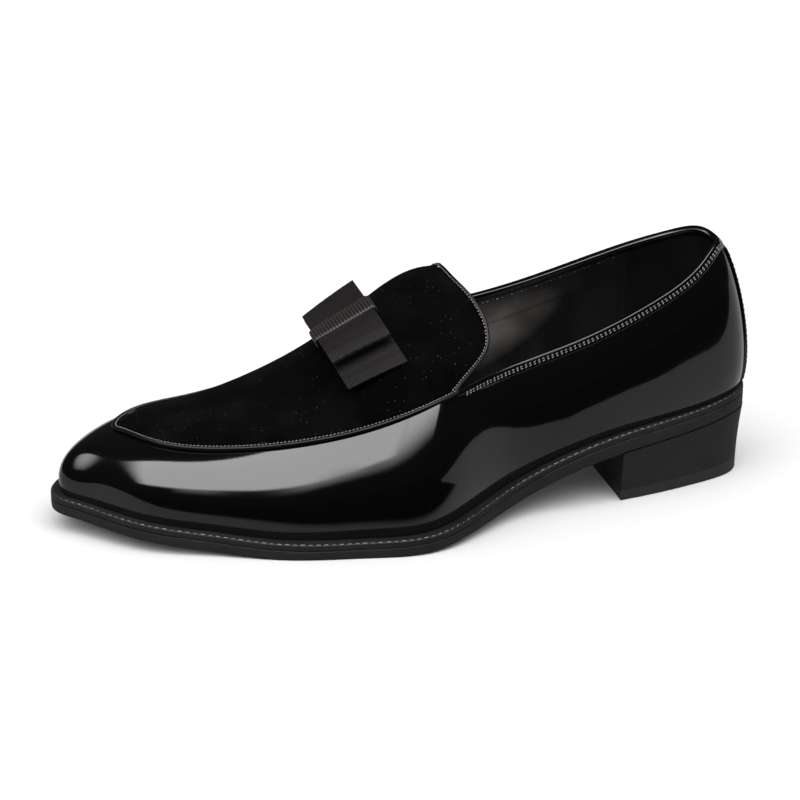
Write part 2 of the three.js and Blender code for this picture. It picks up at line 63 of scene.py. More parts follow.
def makeCamera():
    around = math.radians(view["azimuth"])
    above = math.radians(view["elevation"])
    back = Vector(
        (
            math.sin(around) * math.cos(above),
            -math.cos(around) * math.cos(above),
            math.sin(above),
        )
    )
    data = bpy.data.cameras.new("camera")
    data.lens = view["lens"]
    data.sensor_width = 36
    data.clip_end = 50
    camera = bpy.data.objects.new("camera", data)
    camera.location = Vector(view["target"]) + back * view["distance"]
    camera.rotation_euler = back.to_track_quat("Z", "Y").to_euler()
    bpy.context.scene.collection.objects.link(camera)
    bpy.context.scene.camera = camera


makeCamera()
print("camera set")


# The last: the same shares of the same sizes as the solids have

last = {
    "length": 300,
    "ballWidth": 100,
    "coneHeight": 92,
    "heelLift": 31,
    "toeSpring": 8.5,
    "wall": 2,
    "clearance": 0.3,
    "soleStack": 7,  # welt, outsole and their gaps
    "throat": 5.75,  # the rib where collar and vamp seam part
    # foot, outer, inner, top, belly, low, high, shoulder, rise, crown, rimOuter, rimInner
    "ribs": [
        [0.017, -0.05, -0.05, 0.1, 0.15, 0.1, 0.42, 0.24, 0.78, 0.4, 0.75, 0.75],
        [0.037, 0.095, -0.22, 0.107, 0.142, 0.1, 0.42, 0.15, 0.81, 0.42, 0.74, 0.77],
        [0.09, 0.175, -0.315, 0.133, 0.135, 0.12, 0.42, 0.085, 0.82, 0.44, 0.645, 0.725],
        [0.167, 0.243, -0.335, 0.187, 0.13, 0.14, 0.42, 0.075, 0.825, 0.51, 0.565, 0.69],
        [0.273, 0.295, -0.315, 0.28, 0.122, 0.14, 0.42, 0.095, 0.815, 0.6, 0.517, 0.67],
        [0.387, 0.354, -0.28, 0.383, 0.117, 0.16, 0.42, 0.12, 0.87, 0.69, 0.5, 0.65],
        [0.5, 0.567, -0.31, 0.487, 0.098, 0.18, 0.45, 0.16, 0.89, 0.73, 0.478, 0.575],
        [0.6, 0.573, -0.385, 0.58, 0.073, 0.22, 0.52, 0.182, 0.886, 0.68, 0.487, 0.553],
        [0.7, 0.523, -0.435, 0.67, 0.051, 0.25, 0.6, 0.203, 0.887, 0.63, 0.535, 0.565],
        [0.8, 0.413, -0.42, 0.75, 0.047, 0.28, 0.65, 0.203, 0.935, 0.6, 0.585, 0.61],
        [0.887, 0.305, -0.345, 0.817, 0.043, 0.3, 0.7, 0.225, 0.97, 0.593, 0.65, 0.68],
        [0.953, 0.115, -0.21, 0.86, 0.02, 0.32, 0.72, 0.3, 0.93, 0.632, 0.775, 0.755],
        [0.985, -0.01, -0.01, 0.877, 0.06, 0.32, 0.72, 0.36, 0.9, 0.629, 0.845, 0.845],
    ],
    # station, place across, height
    "ridge": [
        [0.067, -0.04, 1.165],
        [0.1, -0.04, 1.2],
        [0.167, -0.05, 1.175],
        [0.28, -0.08, 1.09],
        [0.383, -0.13, 1.02],
        [0.44, -0.145, 1.04],
        [0.487, -0.15, 0.995],
        [0.58, -0.14, 0.785],
        [0.67, -0.12, 0.6],
        [0.75, -0.1, 0.49],
        [0.817, -0.08, 0.458],
        [0.877, -0.07, 0.427],
        [0.917, -0.06, 0.4],
    ],
    # station, share of the heel's lift, share of the toe's spring
    "profile": [
        [0, 1, 0],
        [0.037, 0.975, 0],
        [0.09, 0.895, 0],
        [0.167, 0.82, 0],
        [0.22, 0.755, 0],
        [0.273, 0.64, 0],
        [0.387, 0.275, 0],
        [0.5, 0.05, 0],
        [0.58, 0.002, 0],
        [0.72, 0, 0.01],
        [0.8, 0, 0.25],
        [0.887, 0, 0.58],
        [0.953, 0, 0.82],
        [1, 0, 1],
    ],
    # station, how far the sole stands out
    "margins": [[0.07, 2.3], [0.37, 4.5], [0.63, 5.3], [0.93, 4.3]],
    # share of the way over the ridge, reach of the tongue in ribs
    "tongue": [
        [0, 0],
        [0.06, 0.44],
        [0.14, 0.56],
        [0.25, 0.48],
        [0.4, 0.27],
        [0.6, 0.16],
        [0.8, 0.14],
        [0.94, 0.1],
        [1, 0],
    ],
}


def through(table, column):  # a smooth function through one column of a table
    at = np.array([row[0] for row in table], float)
    value = np.array([row[column] for row in table], float)
    slope = np.empty_like(value)
    slope[1:-1] = (value[2:] - value[:-2]) / (at[2:] - at[:-2])
    slope[0] = (value[1] - value[0]) / (at[1] - at[0])
    slope[-1] = (value[-1] - value[-2]) / (at[-1] - at[-2])

    def curve(x):
        x = np.asarray(x, float)
        i = np.clip(np.searchsorted(at, x) - 1, 0, len(at) - 2)
        span = at[i + 1] - at[i]
        t = (x - at[i]) / span
        rest = 1 - t
        inside = (
            value[i] * rest * rest * (1 + 2 * t)
            + value[i + 1] * t * t * (3 - 2 * t)
            + span * (slope[i] * t * rest * rest - slope[i + 1] * t * t * rest)
        )
        before = value[0] + slope[0] * (x - at[0])
        after = value[-1] + slope[-1] * (x - at[-1])
        return np.where(x <= at[0], before, np.where(x >= at[-1], after, inside))

    return curve


def smooth(x, start, end):
    t = np.clip((np.asarray(x, float) - start) / (end - start), 0, 1)
    return t * t * (3 - 2 * t)


def unit(vectors):
    return vectors / np.maximum(np.linalg.norm(vectors, axis=-1, keepdims=True), 1e-12)


ridgeAcross = through(last["ridge"], 1)
ridgeRise = through(last["ridge"], 2)
heelShare = through(last["profile"], 1)
springShare = through(last["profile"], 2)
marginShare = through(last["margins"], 1)
tongueEdge = through(last["tongue"], 1)
around = 2 * (len(last["ribs"]) - 1)
toe = around / 2
throat = last["throat"]


def ridgeHeight(along):
    return last["coneHeight"] * ridgeRise(along / last["length"])


def footHeight(along):
    share = along / last["length"]
    lift = last["heelLift"] * heelShare(share)
    return last["soleStack"] + lift + last["toeSpring"] * springShare(share)


def ribControls(row, side):
    foot, outer, inner, top, belly, low, high, shoulder, rise, crown = row[:10]
    footAlong = foot * last["length"]
    footAcross = (outer if side > 0 else inner) * last["ballWidth"]
    topAlong = top * last["length"]
    topAcross = float(ridgeAcross(top)) * last["ballWidth"]
    footZ = float(footHeight(footAlong))
    topZ = float(ridgeHeight(topAlong))
    slope = float(ridgeHeight(topAlong + 1)) - topZ
    shares = [(0, 0), (-belly, low), (-belly, high), (shoulder, rise), (crown, 1), (1, 1)]
    points = []
    for i, (inward, up) in enumerate(shares):
        along = footAlong + inward * (topAlong - footAlong)
        across = footAcross + inward * (topAcross - footAcross)
        height = footZ + up * (topZ - footZ)
        if i == 4:
            height += slope * (along - topAlong)
        points.append((along, across, height))
    return points


def closedControls(rows):  # controls of a closed cubic B-spline through the rows
    rows = np.array(rows, float)
    controls = rows.copy()
    for _ in range(40):
        before = np.roll(controls, 1, 0)
        after = np.roll(controls, -1, 0)
        controls = controls + rows - (before + 4 * controls + after) / 6
    return controls


def closedAt(controls, s):
    count = len(controls)
    turn = np.mod(s, count)
    i = np.floor(turn).astype(int)
    t = (turn - i).reshape(i.shape + (1,) * (controls.ndim - 1))
    weights = [
        (1 - t) ** 3 / 6,
        (3 * t**3 - 6 * t**2 + 4) / 6,
        (-3 * t**3 + 3 * t**2 + 3 * t + 1) / 6,
        t**3 / 6,
    ]
    return sum(w * controls[(i + j - 1) % count] for j, w in enumerate(weights))


ringOfRibs = [(row, 1) for row in last["ribs"]]
ringOfRibs += [(row, -1) for row in reversed(last["ribs"][1:-1])]
netControls = closedControls([ribControls(row, side) for row, side in ringOfRibs])
rimControls = closedControls([row[10] if side > 0 else row[11] for row, side in ringOfRibs])


def rimAt(s):
    return closedAt(rimControls, np.asarray(s, float))


def skin(s, v):  # s counts ribs round the shoe, v goes from the last's bottom edge to its ridge
    s, v = np.broadcast_arrays(np.asarray(s, float), np.asarray(v, float))
    net = closedAt(netControls, s)
    weights = [n * v**k * (1 - v) ** (5 - k) for k, n in enumerate((1, 5, 10, 10, 5, 1))]
    point = sum(w[..., None] * net[..., k, :] for k, w in enumerate(weights))
    settled = point[..., 2] + (footHeight(net[..., 0, 0]) - net[..., 0, 2]) * (1 - v) ** 4
    return np.stack([point[..., 1], -point[..., 0], settled], -1)


def outwards(s, v):
    s, v = np.broadcast_arrays(np.asarray(s, float), np.asarray(v, float))
    step = 1e-3
    forward = skin(s + step, v) - skin(s - step, v)
    up = skin(s, np.minimum(v + step, 1)) - skin(s, np.maximum(v - step, 0))
    normal = unit(np.cross(up, forward))
    along = -skin(s, v)[..., 1]
    slope = ridgeHeight(along + 0.5) - ridgeHeight(along - 0.5)
    top = unit(np.stack([np.zeros_like(slope), slope, np.ones_like(slope)], -1))
    return np.where((v > 0.999)[..., None], top, normal)


def offSkin(s, v, distance):
    return skin(s, v) + outwards(s, v) * np.asarray(distance, float)[..., None]


def upwards(s, v):
    return (skin(s, v + 5e-3) - skin(s, v - 5e-3)) * 100


def perUnit(s, v):  # millimetres up the skin for one unit of v
    return np.linalg.norm(upwards(s, v), axis=-1)


def sideways(s):
    forward = skin(s + 0.01, 0) - skin(s - 0.01, 0)
    return unit(np.stack([-forward[..., 1], forward[..., 0], np.zeros_like(forward[..., 0])], -1))


def soleEdge(s, inset=0):
    foot = skin(s, 0)
    out = marginShare(-foot[..., 1] / last["length"]) - inset
    return foot + sideways(s) * out[..., None]


def wallTop(s):  # the collar line less the height that the binding takes
    s = np.mod(s, around)
    fromThroat = throat - np.minimum(s, around - s)
    drop = 2.5 * smooth(fromThroat, 0, 0.5)
    rim = rimAt(s)
    return rim - drop / perUnit(s, rim)


def vampPlace(s, w, reach=tongueEdge):  # the vamp's lines bend back into the tongue at the throat
    s, w = np.broadcast_arrays(np.asarray(s, float), np.asarray(w, float))
    inner = s > toe
    fromThroat = np.where(inner, around - s, s) - throat
    fade = np.maximum(0, 1 - fromThroat / 1.6) ** 2
    bent = fromThroat + throat - fade * reach(np.where(inner, 1 - w / 2, w / 2))
    place = np.where(inner, around - bent, bent)
    rim = rimAt(place)
    return place, rim + (1 - rim) * w


def coarseMiddle():  # the solids' middle in plan, from the same 84 places round the sole
    edge = soleEdge(np.linspace(0, around, 85))
    low = edge.min(0)
    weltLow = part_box("welt")[0]
    return np.array([low[0] - weltLow[0] / mm, low[1] - weltLow[1] / mm, 0])


middle = coarseMiddle()
print("last shaped, its middle", middle.round(3))


# Meshes

def lengths(points, axis):  # millimetres gone along one way of a grid
    gone = np.linalg.norm(np.diff(points, axis=axis), axis=-1)
    start = np.zeros_like(np.take(gone, [0], axis=axis))
    return np.concatenate([start, np.cumsum(gone, axis=axis)], axis=axis)


def sheet(points, material=0, turned=False, across=None, up=None):
    across = lengths(points, 0) if across is None else across
    up = lengths(points, 1) if up is None else up
    across, up = np.broadcast_to(across, points.shape[:2]), np.broadcast_to(up, points.shape[:2])
    return {"points": points, "uv": np.stack([across, up], -1), "material": material, "turned": turned}


def strip(first, second, material=0, turned=False):
    return sheet(np.stack([first, second], 1), material, turned)


def makeMesh(name, sheets, materials, sharp=50, weld=True, outward=True):
    corners, texture, faces, faceMaterial = [], [], [], []
    start = 0
    for part in sheets:
        rows, columns = part["points"].shape[:2]
        index = start + np.arange(rows * columns).reshape(rows, columns)
        quads = np.stack([index[:-1, :-1], index[1:, :-1], index[1:, 1:], index[:-1, 1:]], -1)
        quads = quads.reshape(-1, 4)
        faces.append(quads[:, ::-1] if part["turned"] else quads)
        faceMaterial.append(np.full(len(quads), part["material"]))
        corners.append(part["points"].reshape(-1, 3))
        texture.append(part["uv"].reshape(-1, 2))
        start += rows * columns
    corners = (np.concatenate(corners) - middle) * mm
    texture = np.concatenate(texture)
    faces = np.concatenate(faces)
    data = bpy.data.meshes.new(name)
    data.from_pydata(corners.tolist(), [], faces.tolist())
    layer = data.uv_layers.new(name="millimetres")
    layer.data.foreach_set("uv", texture[faces.reshape(-1)].astype(np.float32).reshape(-1))
    data.polygons.foreach_set("material_index", np.concatenate(faceMaterial).astype(np.int32))
    if weld:
        work = bmesh.new()
        work.from_mesh(data)
        bmesh.ops.remove_doubles(work, verts=work.verts, dist=2e-6)
        bmesh.ops.dissolve_degenerate(work, dist=1e-7, edges=work.edges)
        if outward:
            bmesh.ops.recalc_face_normals(work, faces=work.faces)
        work.to_mesh(data)
        work.free()
    for material in materials:
        data.materials.append(material)
    data.shade_smooth()
    data.set_sharp_from_angle(angle=math.radians(sharp))
    piece = bpy.data.objects.new(name, data)
    bpy.context.scene.collection.objects.link(piece)
    return piece


def settle(piece, slot, *nodes):  # the piece rides on the shoe and stands for its CAD nodes
    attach(piece, "root")
    if nodes:
        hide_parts(*nodes)
    print("made", piece.name, len(piece.data.polygons))
    return piece


def ringAlong(centres, faces, shape, closed=False):
    # Carries a closed cut, given as (towards face, sideways) pairs, along a line of centres.
    if closed:
        forward = unit(np.roll(centres, -1, 0) - np.roll(centres, 1, 0))
    else:
        forward = unit(np.gradient(centres, axis=0))
    face = unit(faces - forward * (faces * forward).sum(-1, keepdims=True))
    across = np.cross(forward, face)
    shape = np.asarray(shape, float)
    if shape.ndim == 2:
        shape = np.broadcast_to(shape, (len(centres),) + shape.shape)
    ring = centres[:, None] + face[:, None] * shape[..., 0:1] + across[:, None] * shape[..., 1:2]
    if closed:
        ring = np.concatenate([ring, ring[:1]])
    return ring


def circle(radius, sides):
    angle = np.linspace(0, 2 * math.pi, sides + 1)
    return np.stack([radius * np.cos(angle), radius * np.sin(angle)], -1)


def resample(points, normals, pitch):  # even places along a line
    gone = lengths(points, 0)
    count = max(2, int(gone[-1] / pitch))
    at = np.linspace(0, gone[-1], count + 1)
    pick = lambda values: np.stack([np.interp(at, gone, values[:, k]) for k in range(3)], -1)
    return pick(points), unit(pick(normals))


def stitches(name, points, normals, pitch, share, radius, material, lean=0.0):
    # A row of short threads, each a bead that dips into the leather at both ends
    spots, faces = resample(points, normals, pitch)
    forward = unit(np.gradient(spots, axis=0))
    across = np.cross(faces, forward)
    sway = 1 + 0.7 * np.sin(np.arange(len(spots)) * 2.4)  # no two stitches lie alike
    forward = unit(forward + across * (lean * sway)[:, None])
    across = np.cross(faces, forward)
    spots = spots + faces * (radius * 0.3 * (sway - 1))[:, None]
    rings = np.linspace(-1, 1, 7)
    angle = np.linspace(0, 2 * math.pi, 9)
    sheets = []
    for spot, face, ahead, aside in zip(spots[:-1], faces[:-1], forward[:-1], across[:-1]):
        swell = np.sqrt(np.maximum(0, 1 - rings**4))
        line = spot + ahead * (rings[:, None] * pitch * share / 2) - face * (radius * 0.9 * rings[:, None] ** 4)
        thick = (radius * swell)[:, None, None]
        turn = aside * np.cos(angle)[:, None] + face * np.sin(angle)[:, None]
        sheets.append(sheet(line[:, None] + thick * turn[None]))
    return makeMesh(name, sheets, [material], weld=False)


# Materials

def linear(colour):  # sRGB hex to linear
    values = [int(colour[i : i + 2], 16) / 255 for i in (1, 3, 5)]
    return tuple(c / 12.92 if c <= 0.04045 else ((c + 0.055) / 1.055) ** 2.4 for c in values) + (1,)


def newMaterial(name):
    material = bpy.data.materials.new(name)
    material.use_nodes = True
    return material


def addNode(material, kind, sockets=None, **settings):
    tree = material.node_tree
    if kind == "Principled":
        made = tree.nodes["Principled BSDF"]
    else:
        made = tree.nodes.new("ShaderNode" + kind)
    for key, value in settings.items():
        setattr(made, key, value)
    for key, value in (sockets or {}).items():
        if isinstance(value, bpy.types.NodeSocket):
            tree.links.new(value, made.inputs[key])
        else:
            made.inputs[key].default_value = value
    return made.outputs[0] if kind != "Principled" else made


def twoTones(material, fac, first, second, low=0.4, high=0.6):
    ramp = material.node_tree.nodes.new("ShaderNodeValToRGB")
    ramp.color_ramp.elements[0].position = low
    ramp.color_ramp.elements[1].position = high
    ramp.color_ramp.elements[0].color = linear(first)
    ramp.color_ramp.elements[1].color = linear(second)
    material.node_tree.links.new(fac, ramp.inputs[0])
    return ramp.outputs[0]


def objectPlace(material):  # metres in the shoe's own frame
    coordinates = material.node_tree.nodes.new("ShaderNodeTexCoord")
    return coordinates.outputs["Object"]


def clothPlace(material):  # millimetres along and up a piece
    coordinates = material.node_tree.nodes.new("ShaderNodeTexCoord")
    return coordinates.outputs["UV"]


# Patent leather: split leather under a cast film of black polyurethane lacquer. The film gives mirror
# highlights over a slightly uneven ground.
patent = {"colour": "#050506", "film": 0.045, "peelSize": 1.4, "waveSize": 34, "peel": 0.012, "wave": 0.5}


def patentLeather():
    material = newMaterial("patentLeather")
    place = objectPlace(material)
    peel = addNode(material, "TexNoise", {"Vector": place, "Scale": 1 / (patent["peelSize"] * mm), "Detail": 2})
    wave = addNode(material, "TexNoise", {"Vector": place, "Scale": 1 / (patent["waveSize"] * mm), "Detail": 1})
    bump = addNode(material, "Bump", {"Height": wave, "Strength": 0.7, "Distance": patent["wave"] * mm})
    fine = addNode(
        material, "Bump", {"Height": peel, "Strength": 0.5, "Distance": patent["peel"] * mm, "Normal": bump}
    )
    addNode(
        material,
        "Principled",
        {
            "Base Color": linear(patent["colour"]),
            "Roughness": 0.16,
            "IOR": 1.5,
            "Specular IOR Level": 0.1,  # film and leather have nearly the same index, so the film shows alone
            "Coat Weight": 1.0,
            "Coat Roughness": patent["film"],
            "Coat IOR": 1.5,
            "Normal": fine,
            "Coat Normal": fine,
        },
    )
    return material


# Piping: thin calf folded round a cord, duller than the lacquered wall.
def foldedCalf():
    material = newMaterial("foldedCalfPiping")
    grain = addNode(material, "TexNoise", {"Vector": objectPlace(material), "Scale": 1400, "Detail": 3})
    colour = twoTones(material, grain, "#060606", "#0d0d0e")
    bump = addNode(material, "Bump", {"Height": grain, "Strength": 0.3, "Distance": 0.08 * mm})
    addNode(
        material,
        "Principled",
        {"Base Color": colour, "Roughness": 0.34, "IOR": 1.5, "Specular IOR Level": 0.22, "Normal": bump},
    )
    return material


# Velvet: cut cotton pile, brushed one way. It swallows light, glows a little at grazing edges and
# holds a few pale fibres.
velvet = {"deep": "#020202", "brushed": "#070607", "lint": "#6a6560", "patchSize": 22, "fibre": 0.35, "lintSpacing": 2.1}


def cottonVelvet():
    material = newMaterial("cottonVelvet")
    place = objectPlace(material)
    patches = addNode(
        material, "TexNoise", {"Vector": place, "Scale": 1 / (velvet["patchSize"] * mm), "Detail": 3}
    )
    fibres = addNode(material, "TexNoise", {"Vector": place, "Scale": 1 / (velvet["fibre"] * mm), "Detail": 2})
    specks = addNode(
        material,
        "TexVoronoi",
        {"Vector": place, "Scale": 1 / (velvet["lintSpacing"] * mm), "Randomness": 1},
    )
    pile = twoTones(material, patches, velvet["deep"], velvet["brushed"])
    grain = addNode(material, "Math", {0: fibres, 1: 0.5}, operation="MULTIPLY")
    shaded = material.node_tree.nodes.new("ShaderNodeMix")
    shaded.data_type = "RGBA"
    shaded.blend_type = "ADD"
    material.node_tree.links.new(grain, shaded.inputs[0])
    material.node_tree.links.new(pile, shaded.inputs[6])
    shaded.inputs[7].default_value = linear("#050505")
    near = addNode(material, "Math", {0: specks, 1: 0.055}, operation="LESS_THAN")
    lint = material.node_tree.nodes.new("ShaderNodeMix")
    lint.data_type = "RGBA"
    material.node_tree.links.new(near, lint.inputs[0])
    material.node_tree.links.new(shaded.outputs[2], lint.inputs[6])
    lint.inputs[7].default_value = linear(velvet["lint"])
    bump = addNode(material, "Bump", {"Height": fibres, "Strength": 0.6, "Distance": 0.15 * mm})
    addNode(
        material,
        "Principled",
        {
            "Base Color": lint.outputs[2],
            "Roughness": 1.0,
            "IOR": 1.45,
            "Specular IOR Level": 0.03,
            "Sheen Weight": 0.006,
            "Sheen Roughness": 0.35,
            "Sheen Tint": (0.8, 0.78, 0.8, 1),
            "Normal": bump,
        },
    )
    return material


# Grosgrain: silk warp over thick cotton weft. The cords show as ribs about 1 mm apart, the warp that binds
# them as a slanting row of dots. Two rows of stitching hold the fold at each end.
grosgrain = {
    # The first two colours are the painted shade of the valleys and the painted light of the rib crests.
    "shadedValley": "#060505",
    "rib": "#191615",
    "pitch": 1.05,
    "dotPitch": 0.95,
    "stitchRows": (4.4, 5.7),
    "sheen": 0.008,
}


def ribbedRibbon():
    material = newMaterial("silkGrosgrain")
    place = clothPlace(material)
    split = addNode(material, "SeparateXYZ", {0: place}).node
    along, up = split.outputs[0], split.outputs[1]
    unevenness = addNode(material, "TexNoise", {"Vector": place, "Scale": 0.35, "Detail": 2})
    shift = addNode(material, "Math", {0: unevenness, 1: 1.6}, operation="MULTIPLY")
    cord = addNode(material, "Math", {0: up, 1: 2 * math.pi / grosgrain["pitch"], 2: shift}, operation="MULTIPLY_ADD")
    ribs = addNode(material, "Math", {0: addNode(material, "Math", {0: cord}, operation="SINE"), 1: 0.5, 2: 0.5}, operation="MULTIPLY_ADD")
    lean = addNode(material, "Math", {0: cord, 1: 0.27}, operation="MULTIPLY")
    turn = addNode(
        material, "Math", {0: along, 1: 2 * math.pi / grosgrain["dotPitch"], 2: lean}, operation="MULTIPLY_ADD"
    )
    dots = addNode(material, "Math", {0: turn}, operation="SINE")
    woven = addNode(material, "Math", {0: dots, 1: 0.3, 2: ribs}, operation="MULTIPLY_ADD")
    fibres = addNode(material, "TexNoise", {"Vector": place, "Scale": 2.2, "Detail": 3})
    height = addNode(material, "Math", {0: fibres, 1: 0.6, 2: woven}, operation="MULTIPLY_ADD")
    seams = [
        addNode(material, "Math", {0: along, 1: distance, 2: 0.24}, operation="COMPARE")
        for distance in grosgrain["stitchRows"]
    ]
    seam = addNode(material, "Math", {0: seams[0], 1: seams[1]}, operation="MAXIMUM")
    sunk = addNode(material, "Math", {0: seam, 1: -1.6, 2: height}, operation="MULTIPLY_ADD")
    # The colour follows the cloth's height: the valleys between cords and the sunk stitch rows are painted in shade,
    # the crests painted lit.
    colour = twoTones(material, sunk, grosgrain["shadedValley"], grosgrain["rib"], 0.1, 1.4)
    bump = addNode(material, "Bump", {"Height": sunk, "Strength": 0.6, "Distance": 0.2 * mm})
    addNode(
        material,
        "Principled",
        {
            "Base Color": colour,
            "Roughness": 0.6,
            "IOR": 1.5,
            "Specular IOR Level": 0.15,
            "Sheen Weight": grosgrain["sheen"],
            "Normal": bump,
        },
    )
    return material


def cordedKnot():  # the same cloth, whose ribs are shaped as real cords; the UV map counts them
    material = newMaterial("silkGrosgrainCords")
    split = addNode(material, "SeparateXYZ", {0: clothPlace(material)}).node
    phase = addNode(material, "Math", {0: split.outputs[1], 1: math.pi}, operation="MULTIPLY")
    crest = addNode(material, "Math", {0: addNode(material, "Math", {0: phase}, operation="COSINE")}, operation="ABSOLUTE")
    fibres = addNode(material, "TexNoise", {"Vector": objectPlace(material), "Scale": 1600, "Detail": 3})
    height = addNode(material, "Math", {0: fibres, 1: 0.5, 2: crest}, operation="MULTIPLY_ADD")
    # The colour follows the cords: troughs painted in shade, crests painted lit.
    colour = twoTones(material, height, "#030303", "#2a2524", 0.45, 1.3)
    bump = addNode(material, "Bump", {"Height": fibres, "Strength": 0.5, "Distance": 0.08 * mm})
    addNode(
        material,
        "Principled",
        {"Base Color": colour, "Roughness": 0.5, "IOR": 1.5, "Specular IOR Level": 0.35, "Normal": bump},
    )
    return material


# Sole leather edge: stacked vegetable-tanned leather, sanded along the edge, inked black and waxed.
# The sanding leaves fine lines that run with the edge under a satin wax.
edgeInk = {"dark": "#0b0c0d", "light": "#1b1c1e", "lineHeight": 0.55, "lineLength": 30}


def inkedEdge(name="inkedLeatherEdge", dark=edgeInk["dark"], light=edgeInk["light"], roughness=0.6):
    material = newMaterial(name)
    place = clothPlace(material)
    flat = addNode(
        material,
        "Mapping",
        {"Vector": place, "Scale": (1 / edgeInk["lineLength"], 1 / edgeInk["lineHeight"], 1)},
    )
    lines = addNode(material, "TexNoise", {"Vector": flat, "Scale": 1.0, "Detail": 4, "Roughness": 0.6})
    blotches = addNode(material, "TexNoise", {"Vector": objectPlace(material), "Scale": 90, "Detail": 3})
    both = addNode(material, "Math", {0: blotches, 1: 0.5, 2: lines}, operation="MULTIPLY_ADD")
    colour = twoTones(material, both, dark, light, 0.55, 0.95)
    rough = addNode(
        material,
        "MapRange",
        {"Value": lines, "From Min": 0.3, "From Max": 0.7, "To Min": roughness - 0.07, "To Max": roughness + 0.1},
    )
    bump = addNode(material, "Bump", {"Height": lines, "Strength": 0.5, "Distance": 0.12 * mm})
    addNode(
        material,
        "Principled",
        {
            "Base Color": colour,
            "Roughness": rough,
            "IOR": 1.5,
            "Specular IOR Level": 0.35,
            "Normal": bump,
        },
    )
    return material


# Lining: drum-dyed kid leather, glazed. Small soft pebbles break up a satin sheen. Round the heel it is
# ironed smooth and darker.
# The last colour is the pale grey of a painted sheen on the lining.
kid = {"colour": "#0b0a0a", "light": "#191817", "pebble": 0.9, "paintedSheen": "#a39c98"}


def liningLeather(name, dark, light, pebbleDepth, roughness, paintedSheen=None):
    material = newMaterial(name)
    place = objectPlace(material)
    pebbles = addNode(
        material,
        "TexVoronoi",
        {"Vector": place, "Scale": 1 / (kid["pebble"] * mm)},
        feature="SMOOTH_F1",
    )
    tone = addNode(material, "TexNoise", {"Vector": place, "Scale": 60, "Detail": 4})
    colour = twoTones(material, tone, dark, light)
    # A pale patch laid over the inner wall, strongest at its middle and broken by the tone noise: painted sheen.
    if paintedSheen:
        moved = addNode(
            material,
            "Mapping",
            {"Vector": place, "Location": paintedSheen["at"], "Rotation": paintedSheen["turn"], "Scale": paintedSheen["size"]},
            vector_type="TEXTURE",
        )
        sheenFalloff = addNode(material, "TexGradient", {"Vector": moved}, gradient_type="SPHERICAL")
        sheenShare = addNode(material, "Math", {0: sheenFalloff, 1: tone}, operation="MULTIPLY")
        blend = addNode(material, "Mix", {0: sheenShare, 6: colour, 7: linear(kid["paintedSheen"])}, data_type="RGBA").node
        colour = blend.outputs[2]
    bump = addNode(material, "Bump", {"Height": pebbles, "Strength": 0.4, "Distance": pebbleDepth * mm})
    addNode(
        material,
        "Principled",
        {"Base Color": colour, "Roughness": roughness, "IOR": 1.5, "Normal": bump},
    )
    return material


# Thread: bonded nylon, waxed black. Each stitch catches one small glint.
def bondedThread():
    material = newMaterial("bondedNylonThread")
    place = objectPlace(material)
    twist = addNode(material, "TexNoise", {"Vector": place, "Scale": 2500, "Detail": 2})
    # The twist noise shifts between dark and mid grey. The mid grey, lighter than black thread, is painted highlight
    # that brightens the glints.
    colour = twoTones(material, twist, "#1c1c1d", "#444345")
    bump = addNode(material, "Bump", {"Height": twist, "Strength": 0.4, "Distance": 0.05 * mm})
    addNode(
        material,
        "Principled",
        {
            "Base Color": colour,
            "Roughness": 0.25,
            "IOR": 1.53,
            "Coat Weight": 1.0,  # the wax
            "Coat Roughness": 0.12,
            "Normal": bump,
        },
    )
    return material


# Heel top piece: moulded rubber, matt with a slight mould grain.
def mouldedRubber():
    material = newMaterial("mouldedRubber")
    place = objectPlace(material)
    grain = addNode(material, "TexNoise", {"Vector": place, "Scale": 900, "Detail": 3})
    colour = twoTones(material, grain, "#101112", "#1c1d1f")
    bump = addNode(material, "Bump", {"Height": grain, "Strength": 0.3, "Distance": 0.1 * mm})
    addNode(material, "Principled", {"Base Color": colour, "Roughness": 0.55, "IOR": 1.52, "Normal": bump})
    return material


patentFilm = patentLeather()
pipingCalf = foldedCalf()
velvetPile = cottonVelvet()
ribbonCloth = ribbedRibbon()
knotCloth = cordedKnot()
soleEdgeInk = inkedEdge()
soleBottomInk = inkedEdge("paintedSoleBottom", "#0d0d0e", "#1a1a1c", 0.38)
# Where the lining's painted sheen lies, in metres: its middle, its turn and its size.
paintedSheenPatch = {"at": (-0.033, 0.036, 0.058), "turn": (0.4, 0, 0), "size": (0.03, 0.042, 0.016)}
glazedKid = liningLeather("glazedKidLining", kid["colour"], kid["light"], 0.25, 0.45, paintedSheenPatch)
smoothKid = liningLeather("ironedKidGrip", "#060606", "#0c0c0c", 0.06, 0.5)
thread = bondedThread()
rubber = mouldedRubber()
print("materials made")


# Upper

upperCut = {"lines": 480, "wallRows": 44, "vampRows": 24, "liningDepth": 2.0}
wallLines = np.linspace(0, around, upperCut["lines"] + 1)
vampSpan = around - 2 * throat
vampCount = 2 * round(vampSpan / around * upperCut["lines"] / 2)
vampLines = np.linspace(throat, around - throat, vampCount + 1)
halfLine = vampCount // 2
halves = [vampLines[: halfLine + 1], vampLines[halfLine:]]


def wallSheet(depth, material, turned):
    rows = np.linspace(0, 1, upperCut["wallRows"] + 1)
    s, share = np.meshgrid(wallLines, rows, indexing="ij")
    points = offSkin(s, wallTop(s) * share, np.full_like(s, -depth))
    foot = skin(wallLines, 0) - sideways(wallLines) * depth
    foot[:, 2] = footHeight(-foot[:, 1])
    points[:, 0] = foot
    return sheet(points, material, turned)


